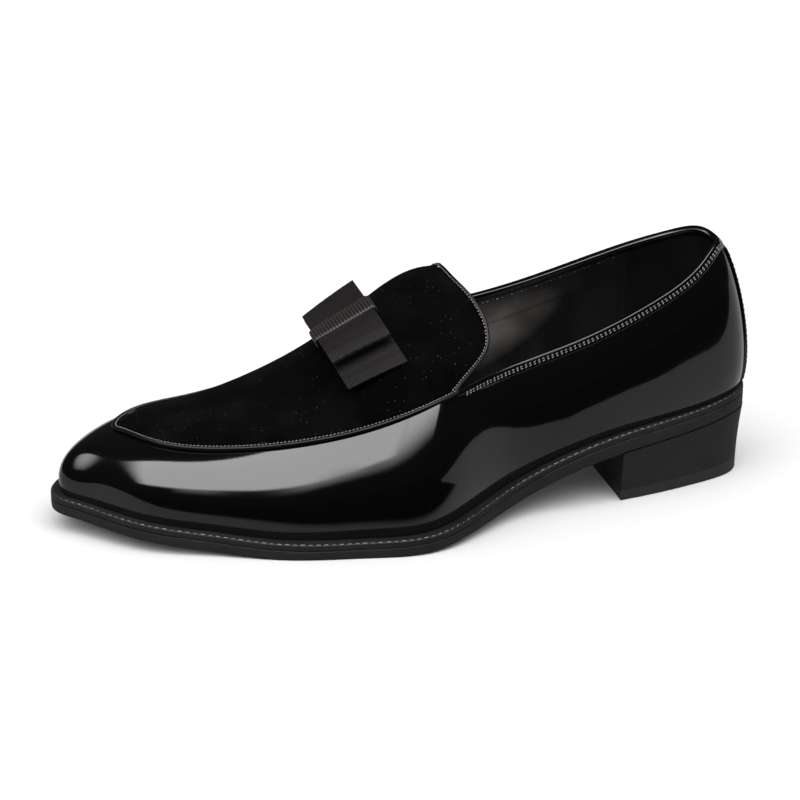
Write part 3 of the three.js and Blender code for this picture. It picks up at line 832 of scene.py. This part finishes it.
def vampSheets(depth, material, turned):
    rows = np.linspace(0, 1, upperCut["vampRows"] + 1)
    found = []
    for lines in halves:
        s, w = np.meshgrid(lines, rows, indexing="ij")
        place, v = vampPlace(s, w)
        found.append(sheet(offSkin(place, v, np.full_like(s, -depth)), material, turned))
    return found


def makeUpper():
    outside = [wallSheet(0, 0, True)] + vampSheets(0, 0, True)
    piece = makeMesh("patentWall", outside, [patentFilm], outward=False)
    settle(piece, "patent_leather", "upper")
    depth = upperCut["liningDepth"]
    inside = [wallSheet(depth, 0, False)] + vampSheets(depth, 0, False)
    outer = wallSheet(0, 0, False)["points"]
    inner = inside[0]["points"]
    inside.append(strip(inner[:, 0], outer[:, 0]))
    piece = makeMesh("kidLining", inside, [glazedKid], outward=False)
    settle(piece, "lining_leather", "upper")


makeUpper()


# Velvet vamp with its piping

plug = {"inset": 1.4, "thick": 0.8, "crown": 0.35, "rows": 44}


def makeVelvet():
    shares = np.linspace(0, 1, plug["rows"] + 1) ** 1.35
    clearance = last["clearance"]
    top = []
    for k, lines in enumerate(halves):
        s, w = np.meshgrid(lines, shares, indexing="ij")
        start = plug["inset"] / perUnit(lines, rimAt(lines)) / (1 - rimAt(lines))
        w = start[:, None] + (1 - start[:, None]) * w
        shorter = lambda share: tongueEdge(share) - 0.055 * smooth(share, 0, 0.06) * smooth(1 - share, 0, 0.06)
        place, v = vampPlace(s, w, shorter)
        points = skin(place, v)
        fromSeam = lengths(points, 1)
        fromTongue = lengths(points, 0)
        if k == 1:
            fromTongue = fromTongue[-1:] - fromTongue
        edge = np.minimum(fromSeam, fromTongue)
        rise = clearance + plug["thick"] * (1 - 0.9 * np.exp(-edge / 0.7)) + plug["crown"] * smooth(edge, 0, 9)
        top.append(sheet(offSkin(place, v, rise), 0, True))
    skirt = []
    for part, (line, turned) in zip(top, ((0, False), (-1, True))):
        seam = part["points"][:, 0]
        under = seam - outwards(*vampPlace(halves[0] if line == 0 else halves[1], 0.001)) * 0.9
        skirt.append(strip(seam, under, 0, turned))
        back = part["points"][line]
        skirt.append(strip(back, back - np.array([0, 0, 0.9]), 0, turned))
    piece = makeMesh("velvetPlug", top + skirt, [velvetPile], outward=False)
    settle(piece, "velvet", "velvet_vamp")


makeVelvet()

piping = {"radius": 0.8, "sides": 12, "pinch": 0.045, "pitch": 2.6}


def tongueReach(inset):  # the tongue's edge moved in by some millimetres
    share = np.clip(np.linspace(0, 1, 61), 0.01, 0.99)
    along = (tongueEdge(share - 0.01) - tongueEdge(share + 0.01)) * 34
    across = 0.02 * 115
    size = np.hypot(along, across)
    table = np.stack(
        [share - inset * along / size / 115, tongueEdge(share) - inset * across / size / 34], -1
    )
    return through(table[np.argsort(table[:, 0])].tolist(), 1)


def edgePlaces(inset=0.0):  # places round the vamp: along the seam, then back over the tongue's edge
    reach = tongueReach(piping["radius"] + last["clearance"] + inset)
    rim = rimAt(vampLines)
    seam = np.stack([vampLines, rim + inset / perUnit(vampLines, rim)], -1)
    shares = np.linspace(0, 1, 61)[1:]
    inner = np.stack(vampPlace(np.full(60, around - throat), shares, reach), -1)
    outer = np.stack(vampPlace(np.full(60, throat), shares[::-1], reach), -1)
    return np.concatenate([seam, inner[:-1], outer])


def makePiping():
    places = edgePlaces()
    s, v = places[:, 0], places[:, 1]
    height = last["clearance"] + piping["radius"]
    centres = offSkin(s, v, np.full(len(s), height))
    faces = outwards(s, v)
    gone = lengths(centres, 0)
    swell = 1 - piping["pinch"] * (0.5 + 0.5 * np.cos(2 * math.pi * gone / piping["pitch"]))
    shape = circle(piping["radius"], piping["sides"])[None] * swell[:, None, None]
    ring = ringAlong(centres, faces, shape, closed=True)
    piece = makeMesh("seamPiping", [sheet(ring)], [pipingCalf], sharp=80)
    settle(piece, "patent_leather", "vamp_piping")


makePiping()


# Collar binding, backstay and lining band

collar = {"start": throat, "proud": 0.28, "leg": 1.6, "corner": 0.5, "steps": 6, "lines": 420}


def collarLines(end):
    return np.linspace(-end, end, collar["lines"] + 1)


def makeBinding():
    lines = collarLines(collar["start"])
    wall = last["wall"]
    rim = rimAt(lines)
    top = wallTop(lines)
    centre = offSkin(lines, top, np.full_like(lines, -wall / 2))
    up = unit(upwards(lines, top))
    rise = (rim - top) * perUnit(lines, rim)
    radius = wall / 2 + collar["proud"]
    corner = collar["corner"]
    bend = np.linspace(0, math.pi / 2, collar["steps"] + 1)
    cut = []
    for line in range(len(lines)):
        crest = rise[line] - corner
        fold = np.stack([crest + corner * np.sin(bend), radius - corner + corner * np.cos(bend)], -1)
        arc = np.concatenate([fold, fold[::-1] * (1, -1)])
        legs = [(-collar["leg"] + 0.3, radius), (-collar["leg"], radius - 0.24), (-collar["leg"], 0)]
        mirrored = [(a, -b) for a, b in reversed(legs)]
        cut.append(np.concatenate([legs[::-1], arc, mirrored[::-1], legs[-1:]]))
    ring = ringAlong(centre, up, np.array(cut))
    ends = [sheet(np.stack([ring[k], np.repeat(ring[k].mean(0)[None], ring.shape[1], 0)])) for k in (0, -1)]
    piece = makeMesh("toplineBinding", [sheet(ring)] + ends, [patentFilm], sharp=60)
    settle(piece, "patent_leather", "collar_binding")


makeBinding()

strap = {"half": 0.5, "low": 0.05, "high": 0.965, "gap": 0.3, "thick": 0.9, "edge": 0.8}


def makeBackstay():
    s, share = np.meshgrid(
        np.linspace(-strap["half"], strap["half"], 41), np.linspace(strap["low"], strap["high"], 61), indexing="ij"
    )
    v = wallTop(s) * share
    ground = skin(s, v)
    fromSide = np.minimum(lengths(ground, 0), (lengths(ground, 0)[-1:] - lengths(ground, 0)))
    fromEnd = np.minimum(lengths(ground, 1), (lengths(ground, 1)[:, -1:] - lengths(ground, 1)))
    edge = np.minimum(fromSide, fromEnd)
    height = strap["gap"] + strap["thick"] * (1 - 0.55 * np.exp(-edge / 0.25))
    top = offSkin(s, v, height)
    under = offSkin(s, v, np.full_like(s, 0.02))
    sides = [strip(top[:, k], under[:, k]) for k in (0, -1)] + [strip(top[k], under[k]) for k in (0, -1)]
    piece = makeMesh("backStrip", [sheet(top, 0, True)] + sides, [patentFilm], sharp=60, outward=False)
    settle(piece, "patent_leather", "backstay")
    for side in (-1, 1):
        rows = np.linspace(strap["low"] + 0.03, strap["high"] - 0.02, 120)
        place = np.full(120, side * (strap["half"] - 0.085))
        v = wallTop(place) * rows
        points = offSkin(place, v, np.full(120, strap["gap"] + strap["thick"]))
        row = stitches("backStripStitches" + "LR"[side > 0], points, outwards(place, v), 2.3, 0.74, 0.13, thread)
        settle(row, "patent_leather")


makeBackstay()

band = {"width": 13, "thick": 0.35, "rows": 12}
grip = {"end": 3.0, "thick": 0.5}


def makeLiningBand():
    lines = collarLines(throat + 0.5)
    depth = upperCut["liningDepth"]
    top = wallTop(lines)
    drop = np.linspace(0.4, band["width"], band["rows"] + 1)
    s, down = np.meshgrid(lines, drop, indexing="ij")
    v = top[:, None] - down / perUnit(lines, top)[:, None]
    thick = band["thick"] * (1 - 0.9 * np.exp(-(band["width"] - down) / 0.3))
    face = offSkin(s, v, -depth - 0.03 - thick)
    lower = offSkin(s[:, -1], v[:, -1], np.full(len(lines), -depth + 0.2))
    piece = makeMesh("liningBand", [sheet(face), strip(face[:, -1], lower)], [glazedKid], outward=False)
    settle(piece, "lining_leather")
    v = top - 2.2 / perUnit(lines, top)
    points = offSkin(lines, v, np.full_like(lines, -depth - band["thick"] + 0.02))
    row = stitches("liningStitches", points, -outwards(lines, v), 2.2, 0.7, 0.14, thread)
    settle(row, "lining_leather")


def makeHeelGrip():  # a second, smoother lining round the heel, whose front edges show as upright seams
    depth = upperCut["liningDepth"]
    lines = np.linspace(-grip["end"], grip["end"], 181)
    s, share = np.meshgrid(lines, np.linspace(0.12, 0.985, 31), indexing="ij")
    v = wallTop(s) * share
    fromEnd = (grip["end"] - np.abs(s)) * 27
    thick = grip["thick"] * (1 - 0.9 * np.exp(-fromEnd / 0.4))
    face = offSkin(s, v, -depth - band["thick"] - 0.05 - thick)
    under = offSkin(s, v, np.full_like(s, -depth + 0.1))
    parts = [sheet(face), strip(face[0], under[0]), strip(face[-1], under[-1]), strip(face[:, 0], under[:, 0])]
    piece = makeMesh("heelGrip", parts, [smoothKid], outward=False)
    settle(piece, "lining_leather")
    for side in (-1, 1):
        place = np.full(80, side * (grip["end"] - 0.075))
        v = wallTop(place) * np.linspace(0.14, 0.93, 80)
        points = offSkin(place, v, np.full(80, -depth - band["thick"] - grip["thick"] - 0.03))
        row = stitches("gripStitches" + "LR"[side > 0], points, -outwards(place, v), 2.2, 0.7, 0.14, thread)
        settle(row, "lining_leather")


makeLiningBand()
makeHeelGrip()


# Stitching on the outside

rows = {"pitch": 2.0, "radius": 0.3, "collarDrop": (1.9, 2.8), "pipingSide": 0.95}


def makeOutsideStitches():
    lines = collarLines(throat - 0.1)
    for k, drop in enumerate(rows["collarDrop"]):
        rim = rimAt(lines)
        v = rim - drop / perUnit(lines, rim)
        points = offSkin(lines, v, np.full_like(lines, collar["proud"] + 0.08))
        row = stitches(
            f"collarStitches{k}", points, outwards(lines, v), rows["pitch"], 0.8, rows["radius"], thread, 0.45
        )
        settle(row, "patent_leather")
    places = edgePlaces(rows["pipingSide"])
    s, v = places[:, 0], places[:, 1]
    points = offSkin(s, v, np.full(len(s), last["clearance"] + piping["radius"] + 0.35))
    row = stitches("pipingStitches", points, outwards(s, v), 1.55, 0.96, 0.3, thread, 0.22)
    settle(row, "velvet")


makeOutsideStitches()


# Sole

sole = {
    "lines": 480,
    "welt": 2.4,
    "outsole": 4,
    "waist": 1.4,
    "settle": 0.15,
    "core": 7.5,
    # how far in and how high, a share of the piece, from its top round its edge to its underside
    "weltEdge": [(1.5, 1), (0.5, 1), (0.16, 0.98), (0.02, 0.9), (0, 0.75), (0, 0.12), (0.05, 0.03), (0.2, 0)],
    "outsoleEdge": [(0.25, 1), (0.04, 0.985), (0, 0.95), (0, 0.6), (0.04, 0.3), (0.12, 0.12), (0.3, 0.03), (0.6, 0)],
}


def outsoleTop(along):
    return footHeight(along) - sole["welt"] - 2 * last["clearance"]


def outsoleBottom(along):
    gain = sole["waist"] * (1 - smooth(along / last["length"], 0.37, 0.5))
    return np.maximum(0, outsoleTop(along) - sole["outsole"] - gain - sole["settle"])


def weltTop(along):
    return footHeight(along) - last["clearance"]


def weltBottom(along):
    return weltTop(along) - sole["welt"]


def levelled(points, height):
    points = points.copy()
    points[..., 2] = height(-points[..., 1])
    return points


def plateSheets(edge, lower, upper, faceMaterial, edgeMaterial):
    lines = np.linspace(0, around, sole["lines"] + 1)
    columns = []
    for inset, share in edge:
        rim = soleEdge(lines, inset)
        along = -rim[:, 1]
        rim[:, 2] = lower(along) + share * (upper(along) - lower(along))
        columns.append(rim)
    side = np.stack(columns, 1)
    along = lengths(side, 0)[:, :1]
    found = [sheet(side, edgeMaterial, False, across=along, up=side[..., 2])]
    half = sole["lines"] // 2
    for height, column in ((upper, 0), (lower, -1)):
        ring = levelled(soleEdge(lines, sole["core"]), height)
        found.append(strip(side[:, column], ring, faceMaterial))
        left, right = ring[: half + 1], ring[half:][::-1]
        shares = np.linspace(0, 1, 9)[None, :, None]
        cap = left[:, None] * (1 - shares) + right[:, None] * shares
        found.append(sheet(levelled(cap, height), faceMaterial))
    return found


def makeSole():
    parts = plateSheets(sole["weltEdge"], weltBottom, weltTop, 0, 0)
    piece = makeMesh("sewnWelt", parts, [soleEdgeInk], sharp=60)
    settle(piece, "sole_leather", "welt")
    lines = np.linspace(0, around, 481)
    points = levelled(soleEdge(lines, 0.75), weltTop) - np.array([0, 0, 0.06])
    row = stitches("weltStitches", points, np.tile([0, 0, 1.0], (481, 1)), 3.1, 0.86, 0.2, thread)
    settle(row, "sole_leather")
    parts = plateSheets(sole["outsoleEdge"], outsoleBottom, outsoleTop, 1, 0)
    piece = makeMesh("leatherOutsole", parts, [soleEdgeInk, soleBottomInk], sharp=60)
    settle(piece, "sole_leather", "outsole")


makeSole()

stack = {"breast": 0.22, "taper": 2.4, "hollow": 0.5, "lifts": 5, "topPiece": 0.2, "groove": 0.07, "grooveHeight": 0.3}


def breastRib(start, end):
    low, high = start, end
    for _ in range(40):
        middleRib = (low + high) / 2
        if -soleEdge(np.array([middleRib]))[0, 1] < stack["breast"] * last["length"]:
            low = middleRib
        else:
            high = middleRib
    return low


def makeHeel():
    inner, outer = breastRib(-1, -toe), breastRib(1, toe)
    lines = np.concatenate([np.linspace(inner, 0, 120)[:-1], np.linspace(0, outer, 120)])
    tall = float(outsoleBottom(np.array([30.0]))[0]) - last["clearance"]
    joints = [stack["topPiece"] + (1 - stack["topPiece"]) * k / stack["lifts"] for k in range(stack["lifts"])]
    thin = stack["grooveHeight"] / tall
    shares = {0.0, 0.012, 1.0}
    for joint in joints:
        shares.update((joint - thin, joint - thin / 2, joint, joint + thin / 2))
    shares.update(np.linspace(0, 1, 30).tolist())
    shares = sorted(share for share in shares if share <= 1)
    columns = []
    for share in shares:
        nearest = min(abs(share - joint + thin / 4) for joint in joints)
        cut = stack["groove"] if nearest < thin / 2 else 0
        bevel = 0.35 * max(0, 1 - share / 0.012)
        inset = stack["taper"] * (1 - share) + stack["hollow"] * 4 * share * (1 - share) + cut + bevel
        edge = soleEdge(np.mod(lines, around), inset)
        along = np.minimum(-edge[:, 1], stack["breast"] * last["length"] - cut)
        edge[:, 1] = -along
        edge[:, 2] = share * (outsoleBottom(along) - last["clearance"])
        columns.append(edge)
    side = np.stack(columns, 1)
    ringLength = lengths(side, 0)[:, :1]
    topRow = next(i for i, share in enumerate(shares) if share >= stack["topPiece"])
    found = [
        sheet(side[:, : topRow + 1], 1, False, across=ringLength, up=side[:, : topRow + 1, 2]),
        sheet(side[:, topRow:], 0, False, across=ringLength, up=side[:, topRow:, 2]),
    ]
    shareAcross = np.linspace(0, 1, 25)[:, None, None]
    breast = side[:1] * (1 - shareAcross) + side[-1:] * shareAcross
    width = np.linalg.norm(side[0, 0] - side[-1, 0]) * shareAcross[:, :, 0]
    found.append(sheet(breast[:, topRow:], 0, False, across=width, up=breast[:, topRow:, 2]))
    found.append(sheet(breast[:, : topRow + 1], 1, False, across=width, up=breast[:, : topRow + 1, 2]))
    count = len(lines) // 2
    for column, material in ((0, 1), (-1, 0)):
        left, right = side[: count + 1, column][::-1], side[count:, column]
        shares2 = np.linspace(0, 1, 7)[None, :, None]
        found.append(sheet(left[:, None] * (1 - shares2) + right[:, None] * shares2, material))
    piece = makeMesh("stackedHeel", found, [soleEdgeInk, rubber], sharp=40)
    settle(piece, "sole_leather", "heel")


makeHeel()

sock = {"thick": 2.4, "dome": 0.5, "steps": 21}


def makeSock():
    lines = np.linspace(0, around, 361)
    rim = skin(lines, 0) - sideways(lines) * (last["wall"] + 0.45)
    half = 180
    left, right = rim[: half + 1], rim[half:][::-1]
    share = np.linspace(0, 1, sock["steps"])[None, :, None]
    top = left[:, None] * (1 - share) + right[:, None] * share
    bulge = sock["dome"] * (1 - (2 * share[..., 0] - 1) ** 4)
    top[..., 2] = footHeight(-top[..., 1]) + sock["thick"] - sock["dome"] + bulge
    edge = levelled(rim, footHeight)
    upper = edge.copy()
    upper[:, 2] = footHeight(-upper[:, 1]) + sock["thick"] - sock["dome"]
    under = top.copy()
    under[..., 2] = footHeight(-under[..., 1]) + 0.02
    piece = makeMesh("sockLining", [sheet(top), strip(edge, upper), sheet(under, 0, True)], [glazedKid])
    settle(piece, "lining_leather", "insole")


makeSock()


# Bow

bow = {
    "station": 0.58,
    "across": -0.035,
    "slope": 0.54,
    "twist": 0.003,
    "width": 26,
    "layer": 1.5,  # a ribbon folded flat on itself
    "long": 78,
    "short": 61,
    "knotWidth": 13,
    "knotThick": 1.2,
    "puff": 1.2,
    "cloth": 0.42,
}


def bowAxes():
    along = bow["station"] * last["length"]
    at = np.array([bow["across"] * last["ballWidth"], -along, float(ridgeHeight(along))])
    forward = unit(np.array([0, -1, -bow["slope"]]))
    side = np.array([1.0, 0, 0])
    return at, forward, side, np.cross(forward, side)


bowAt, bowForward, bowSide, bowUp = bowAxes()


def vampSamples():
    s, w = np.meshgrid(
        np.concatenate([np.linspace(5, 9, 33), np.linspace(around - 9, around - 5, 33)]),
        np.linspace(0, 1, 41),
        indexing="ij",
    )
    offset = (skin(s, rimAt(s) + (1 - rimAt(s)) * w) - bowAt).reshape(-1, 3)
    x, y = offset @ bowSide, offset @ bowForward
    return x, y, offset @ bowUp - bow["twist"] * x * y


sampleX, sampleY, sampleZ = vampSamples()
velvetTop = 2 * last["clearance"] + plug["thick"]


def vampUnder(x):
    near = (np.abs(sampleX - x) < 2) & (np.abs(sampleY) < bow["width"] / 2 + 3)
    return velvetTop + sampleZ[near].max(initial=-99)


def drapeOf(slope):
    crest = vampUnder(0)
    stations = np.linspace(-0.5, 0.5, 13) * bow["long"]
    table = []
    for x in stations:
        table.append([x, max(vampUnder(x), crest + slope * x if x < 0 else -99)])
    return through(table, 1)


longDrape = drapeOf(0.12)
shortDrape = drapeOf(0.03)


def inBow(x, y, z):
    x, y, z = np.broadcast_arrays(x, y, z)
    lift = z + bow["twist"] * x * y
    return bowAt + x[..., None] * bowSide + y[..., None] * bowForward + lift[..., None] * bowUp


def makeRibbon(name, node, ribbonLength, drape, lift, puff, billow, swell):
    half = ribbonLength / 2
    hem = bow["knotWidth"] / 2

    def free(x):
        return np.clip((np.abs(x) - hem) / (half - hem), 0, 1)

    def layer(x):  # half the thickness of the folded ribbon, which opens towards the end that shows
        return bow["layer"] / 2 + swell * smooth(free(x), 0, 0.8) * (x > 0)

    def centre(x):
        grade = np.hypot(1, drape(x + 0.5) - drape(x - 0.5))
        rise = puff * np.sin(math.pi * free(x) / 1.6) * (x > 0)
        rise = rise + billow * np.sin(math.pi * (free(x) * 0.86) ** 0.7) * (x > 0)
        return drape(x) + (lift + layer(x)) * grade + rise

    def line(x, angle, reachOut):
        tilt = np.arctan(centre(x + 0.5) - centre(x - 0.5))
        return x - reachOut * np.sin(tilt + angle), centre(x) + reachOut * np.cos(tilt + angle)

    ends = (-(half - layer(-half)), half - layer(half))
    xs = np.linspace(ends[0], ends[1], 121)
    turn = np.linspace(0, math.pi, 15)[1:-1]

    def loop(inset):
        topX, topZ = line(xs, 0, layer(xs) - inset)
        rightX, rightZ = line(np.full(13, ends[1]), -turn, layer(half) - inset)
        lowX, lowZ = line(xs[::-1], math.pi, layer(xs[::-1]) - inset)
        leftX, leftZ = line(np.full(13, ends[0]), math.pi - turn, layer(-half) - inset)
        xAll = np.concatenate([topX, rightX, lowX, leftX, topX[:1]])
        return xAll, np.concatenate([topZ, rightZ, lowZ, leftZ, topZ[:1]])

    ys = np.linspace(-0.5, 0.5, 27) * bow["width"]
    outX, outZ = loop(0)
    inX, inZ = loop(bow["cloth"])
    crown = 0.35 * (1 - (2 * ys / bow["width"]) ** 2)  # the cloth arches a little between its edges
    outer = inBow(outX[:, None], ys[None], outZ[:, None] + crown[None] - 0.35)
    inner = inBow(inX[:, None], ys[None], inZ[:, None] + crown[None] - 0.35)
    gone = lengths(outer, 0)[:, :1]
    fromEnd = np.abs(np.abs(outX) - half)[:, None] + 0 * gone
    parts = [
        sheet(outer, 0, across=fromEnd, up=ys[None] + 0 * gone),
        sheet(inner, 0, True, across=fromEnd, up=ys[None] + 0 * gone),
        strip(outer[:, 0], inner[:, 0]),
        strip(outer[:, -1], inner[:, -1]),
    ]
    piece = makeMesh(name, parts, [ribbonCloth], sharp=60)
    settle(piece, "grosgrain", node)


shortLift = bow["layer"] + last["clearance"]
makeRibbon("longRibbon", "bow_long_ribbon", bow["long"], longDrape, 0, 0, 0, 0)
makeRibbon("shortRibbon", "bow_short_ribbon", bow["short"], shortDrape, shortLift, bow["puff"], 3.0, 0.7)

knot = {"ribs": 27, "ribHeight": 0.42, "corner": 1.6, "perRib": 8, "columns": 26}


def makeKnot():
    halfWidth = bow["knotWidth"] / 2
    xs = np.linspace(-halfWidth, halfWidth, knot["columns"] + 1)
    reach = bow["width"] / 2 + last["clearance"]
    top = bow["layer"] + shortLift + last["clearance"]
    highest = max(float(shortDrape(x)) for x in np.linspace(-halfWidth, halfWidth, 5))
    corner = knot["corner"]
    bend = np.linspace(math.pi, math.pi / 2, 12)
    grow = bow["knotThick"]
    left = np.stack([-(reach + grow - corner) + corner * np.cos(bend), top + grow - corner + corner * np.sin(bend)], -1)
    right = left[::-1] * np.array([-1, 1])
    path = np.concatenate([[[-reach - grow, 0]], left, right, [[reach + grow, 0]]])
    gone = np.concatenate([[0], np.cumsum(np.hypot(*np.diff(path, axis=0).T))])
    count = knot["ribs"] * knot["perRib"]
    at = np.linspace(0, gone[-1], count + 1)
    pathY, pathZ = np.interp(at, gone, path[:, 0]), np.interp(at, gone, path[:, 1])
    slope = np.stack([np.gradient(pathY), np.gradient(pathZ)], -1)
    slope /= np.linalg.norm(slope, axis=1, keepdims=True)
    normal = np.stack([-slope[:, 1], slope[:, 0]], -1)
    wave = knot["ribHeight"] * np.abs(np.cos(np.arange(count + 1) * math.pi / knot["perRib"])) ** 0.7
    soften = 1 - (np.abs(xs) / halfWidth) ** 8
    sag = 0.55 * (xs / halfWidth) ** 2 + 0.5 * (np.abs(xs) / halfWidth) ** 12
    out = wave[None] * soften[:, None] - knot["ribHeight"] * 0.8
    y = pathY[None] + normal[None, :, 0] * out
    z = highest + pathZ[None] + normal[None, :, 1] * out - sag[:, None] * (pathZ[None] > 1)
    face = inBow(xs[:, None], y, z)
    innerY = pathY * (reach / (reach + grow))
    innerZ = np.minimum(pathZ, top)
    inner = inBow(xs[:, None], innerY[None], highest + innerZ[None] - 0.0 * xs[:, None])
    parts = [
        sheet(face, 0, across=xs[:, None], up=at[None] / gone[-1] * knot["ribs"]),
        sheet(np.stack([face[0], inner[0]], 1), up=np.full((count + 1, 2), 0.5)),
        sheet(np.stack([face[-1], inner[-1]], 1), up=np.full((count + 1, 2), 0.5)),
        strip(face[:, 0], inner[:, 0]),
        strip(face[:, -1], inner[:, -1]),
        sheet(inner, 0, True),
    ]
    piece = makeMesh("ribbonKnot", parts, [knotCloth], sharp=70)
    settle(piece, "grosgrain", "bow_knot")


makeKnot()


# Studio: white paper under the shoe, which ends close in front of it, and a long soft box over the toe and
# the viewer's side, in a dark room. The camera sees the paper over-exposed; mirrors see it grey.

studio = {
    "paperSeen": 0.66,
    "paperMirrored": 0.3,
    # how far out the paper reaches beside the ball and beside the heel, and between which places it steps, metres
    "paperEdge": (0.067, 0.165),
    "paperStep": (0.07, 0.13),
    "paperBlur": 0.006,
    "aim": (67, 55),  # the box's azimuth and elevation
    # sideways and upwards, where its light starts, is full, wanes and ends
    "toeHalf": ((-1.2, -0.6, -0.05, 0.25), (-0.54, -0.4, 0.68, 0.78)),
    "heelHalf": ((-0.25, 0.1, 1.02, 1.1), (-0.8, -0.1, 0.7, 0.8)),
    "heelShear": 0.45,  # its lower edge rises towards the heel
    "boxMirrored": 6.8,
    "boxCast": 2.6,
    "roomMirrored": 0.02,
    "roomCast": 0.8,
}


def makeFloor():
    data = bpy.data.meshes.new("floor")
    half = 8
    data.from_pydata([(-half, -half, 0), (half, -half, 0), (half, half, 0), (-half, half, 0)], [], [(0, 1, 2, 3)])
    floor = bpy.data.objects.new("floor", data)
    bpy.context.scene.collection.objects.link(floor)
    paper = newMaterial("whitePaper")
    place = addNode(paper, "SeparateXYZ", {0: objectPlace(paper)}).node
    reach = addNode(
        paper,
        "MapRange",
        {
            "Value": place.outputs[1],
            "From Min": studio["paperStep"][0],
            "From Max": studio["paperStep"][1],
            "To Min": studio["paperEdge"][0],
            "To Max": studio["paperEdge"][1],
        },
        interpolation_type="SMOOTHSTEP",
    )
    beyond = addNode(paper, "Math", {0: place.outputs[0], 1: reach}, operation="SUBTRACT")
    mirrored = addNode(
        paper,
        "MapRange",
        {
            "Value": beyond,
            "From Min": -studio["paperBlur"],
            "From Max": studio["paperBlur"],
            "To Min": studio["paperMirrored"],
            "To Max": 0.006,
        },
        interpolation_type="SMOOTHSTEP",
    )
    rays = addNode(paper, "LightPath").node
    shade = paper.node_tree.nodes.new("ShaderNodeMix")
    paper.node_tree.links.new(rays.outputs["Is Camera Ray"], shade.inputs[0])
    paper.node_tree.links.new(mirrored, shade.inputs[2])
    shade.inputs[3].default_value = studio["paperSeen"]
    addNode(paper, "Principled", {"Base Color": shade.outputs[0], "Roughness": 1.0, "Specular IOR Level": 0})
    data.materials.append(paper)


def makeRoom():
    world = bpy.data.worlds.new("room")
    world.use_nodes = True
    turn, rise = (math.radians(angle) for angle in studio["aim"])
    ahead = (math.sin(turn) * math.cos(rise), -math.cos(turn) * math.cos(rise), math.sin(rise))
    aside = (math.cos(turn), math.sin(turn), 0)
    above = tuple(Vector(ahead).cross(Vector(aside)))
    direction = world.node_tree.nodes.new("ShaderNodeTexCoord").outputs["Generated"]

    def part(axis):
        return addNode(world, "VectorMath", {0: direction, 1: axis}, operation="DOT_PRODUCT").node.outputs["Value"]

    depth = part(ahead)
    inFront = addNode(world, "Math", {0: depth, 1: 0.05}, operation="MAXIMUM")
    sideward = addNode(world, "Math", {0: part(aside), 1: inFront}, operation="DIVIDE")
    upward = addNode(world, "Math", {0: part(above), 1: inFront}, operation="DIVIDE")
    sheared = addNode(
        world, "Math", {0: sideward, 1: -studio["heelShear"], 2: upward}, operation="MULTIPLY_ADD"
    )
    halves = []
    for half, rising in (("toeHalf", upward), ("heelHalf", sheared)):
        light = addNode(world, "Math", {0: depth, 1: 0.05}, operation="GREATER_THAN")
        for place, edges in zip((sideward, rising), studio[half]):
            for start, end in (edges[:2], edges[:1:-1]):
                edge = addNode(
                    world,
                    "MapRange",
                    {"Value": place, "From Min": start, "From Max": end},
                    interpolation_type="SMOOTHSTEP",
                )
                light = addNode(world, "Math", {0: light, 1: edge}, operation="MULTIPLY")
        halves.append(light)
    light = addNode(world, "Math", {0: halves[0], 1: halves[1]}, operation="MAXIMUM")
    rays = addNode(world, "LightPath").node.outputs["Is Glossy Ray"]
    box = addNode(world, "MapRange", {"Value": rays, "To Min": studio["boxCast"], "To Max": studio["boxMirrored"]})
    room = addNode(
        world, "MapRange", {"Value": rays, "To Min": studio["roomCast"], "To Max": studio["roomMirrored"]}
    )
    strength = addNode(world, "Math", {0: light, 1: box, 2: room}, operation="MULTIPLY_ADD")
    background = world.node_tree.nodes["Background"]
    world.node_tree.links.new(strength, background.inputs["Strength"])
    background.inputs["Color"].default_value = (1, 1, 1, 1)
    bpy.context.scene.world = world


makeFloor()
makeRoom()
bpy.context.scene.view_settings.view_transform = "Standard"
print("studio lit")
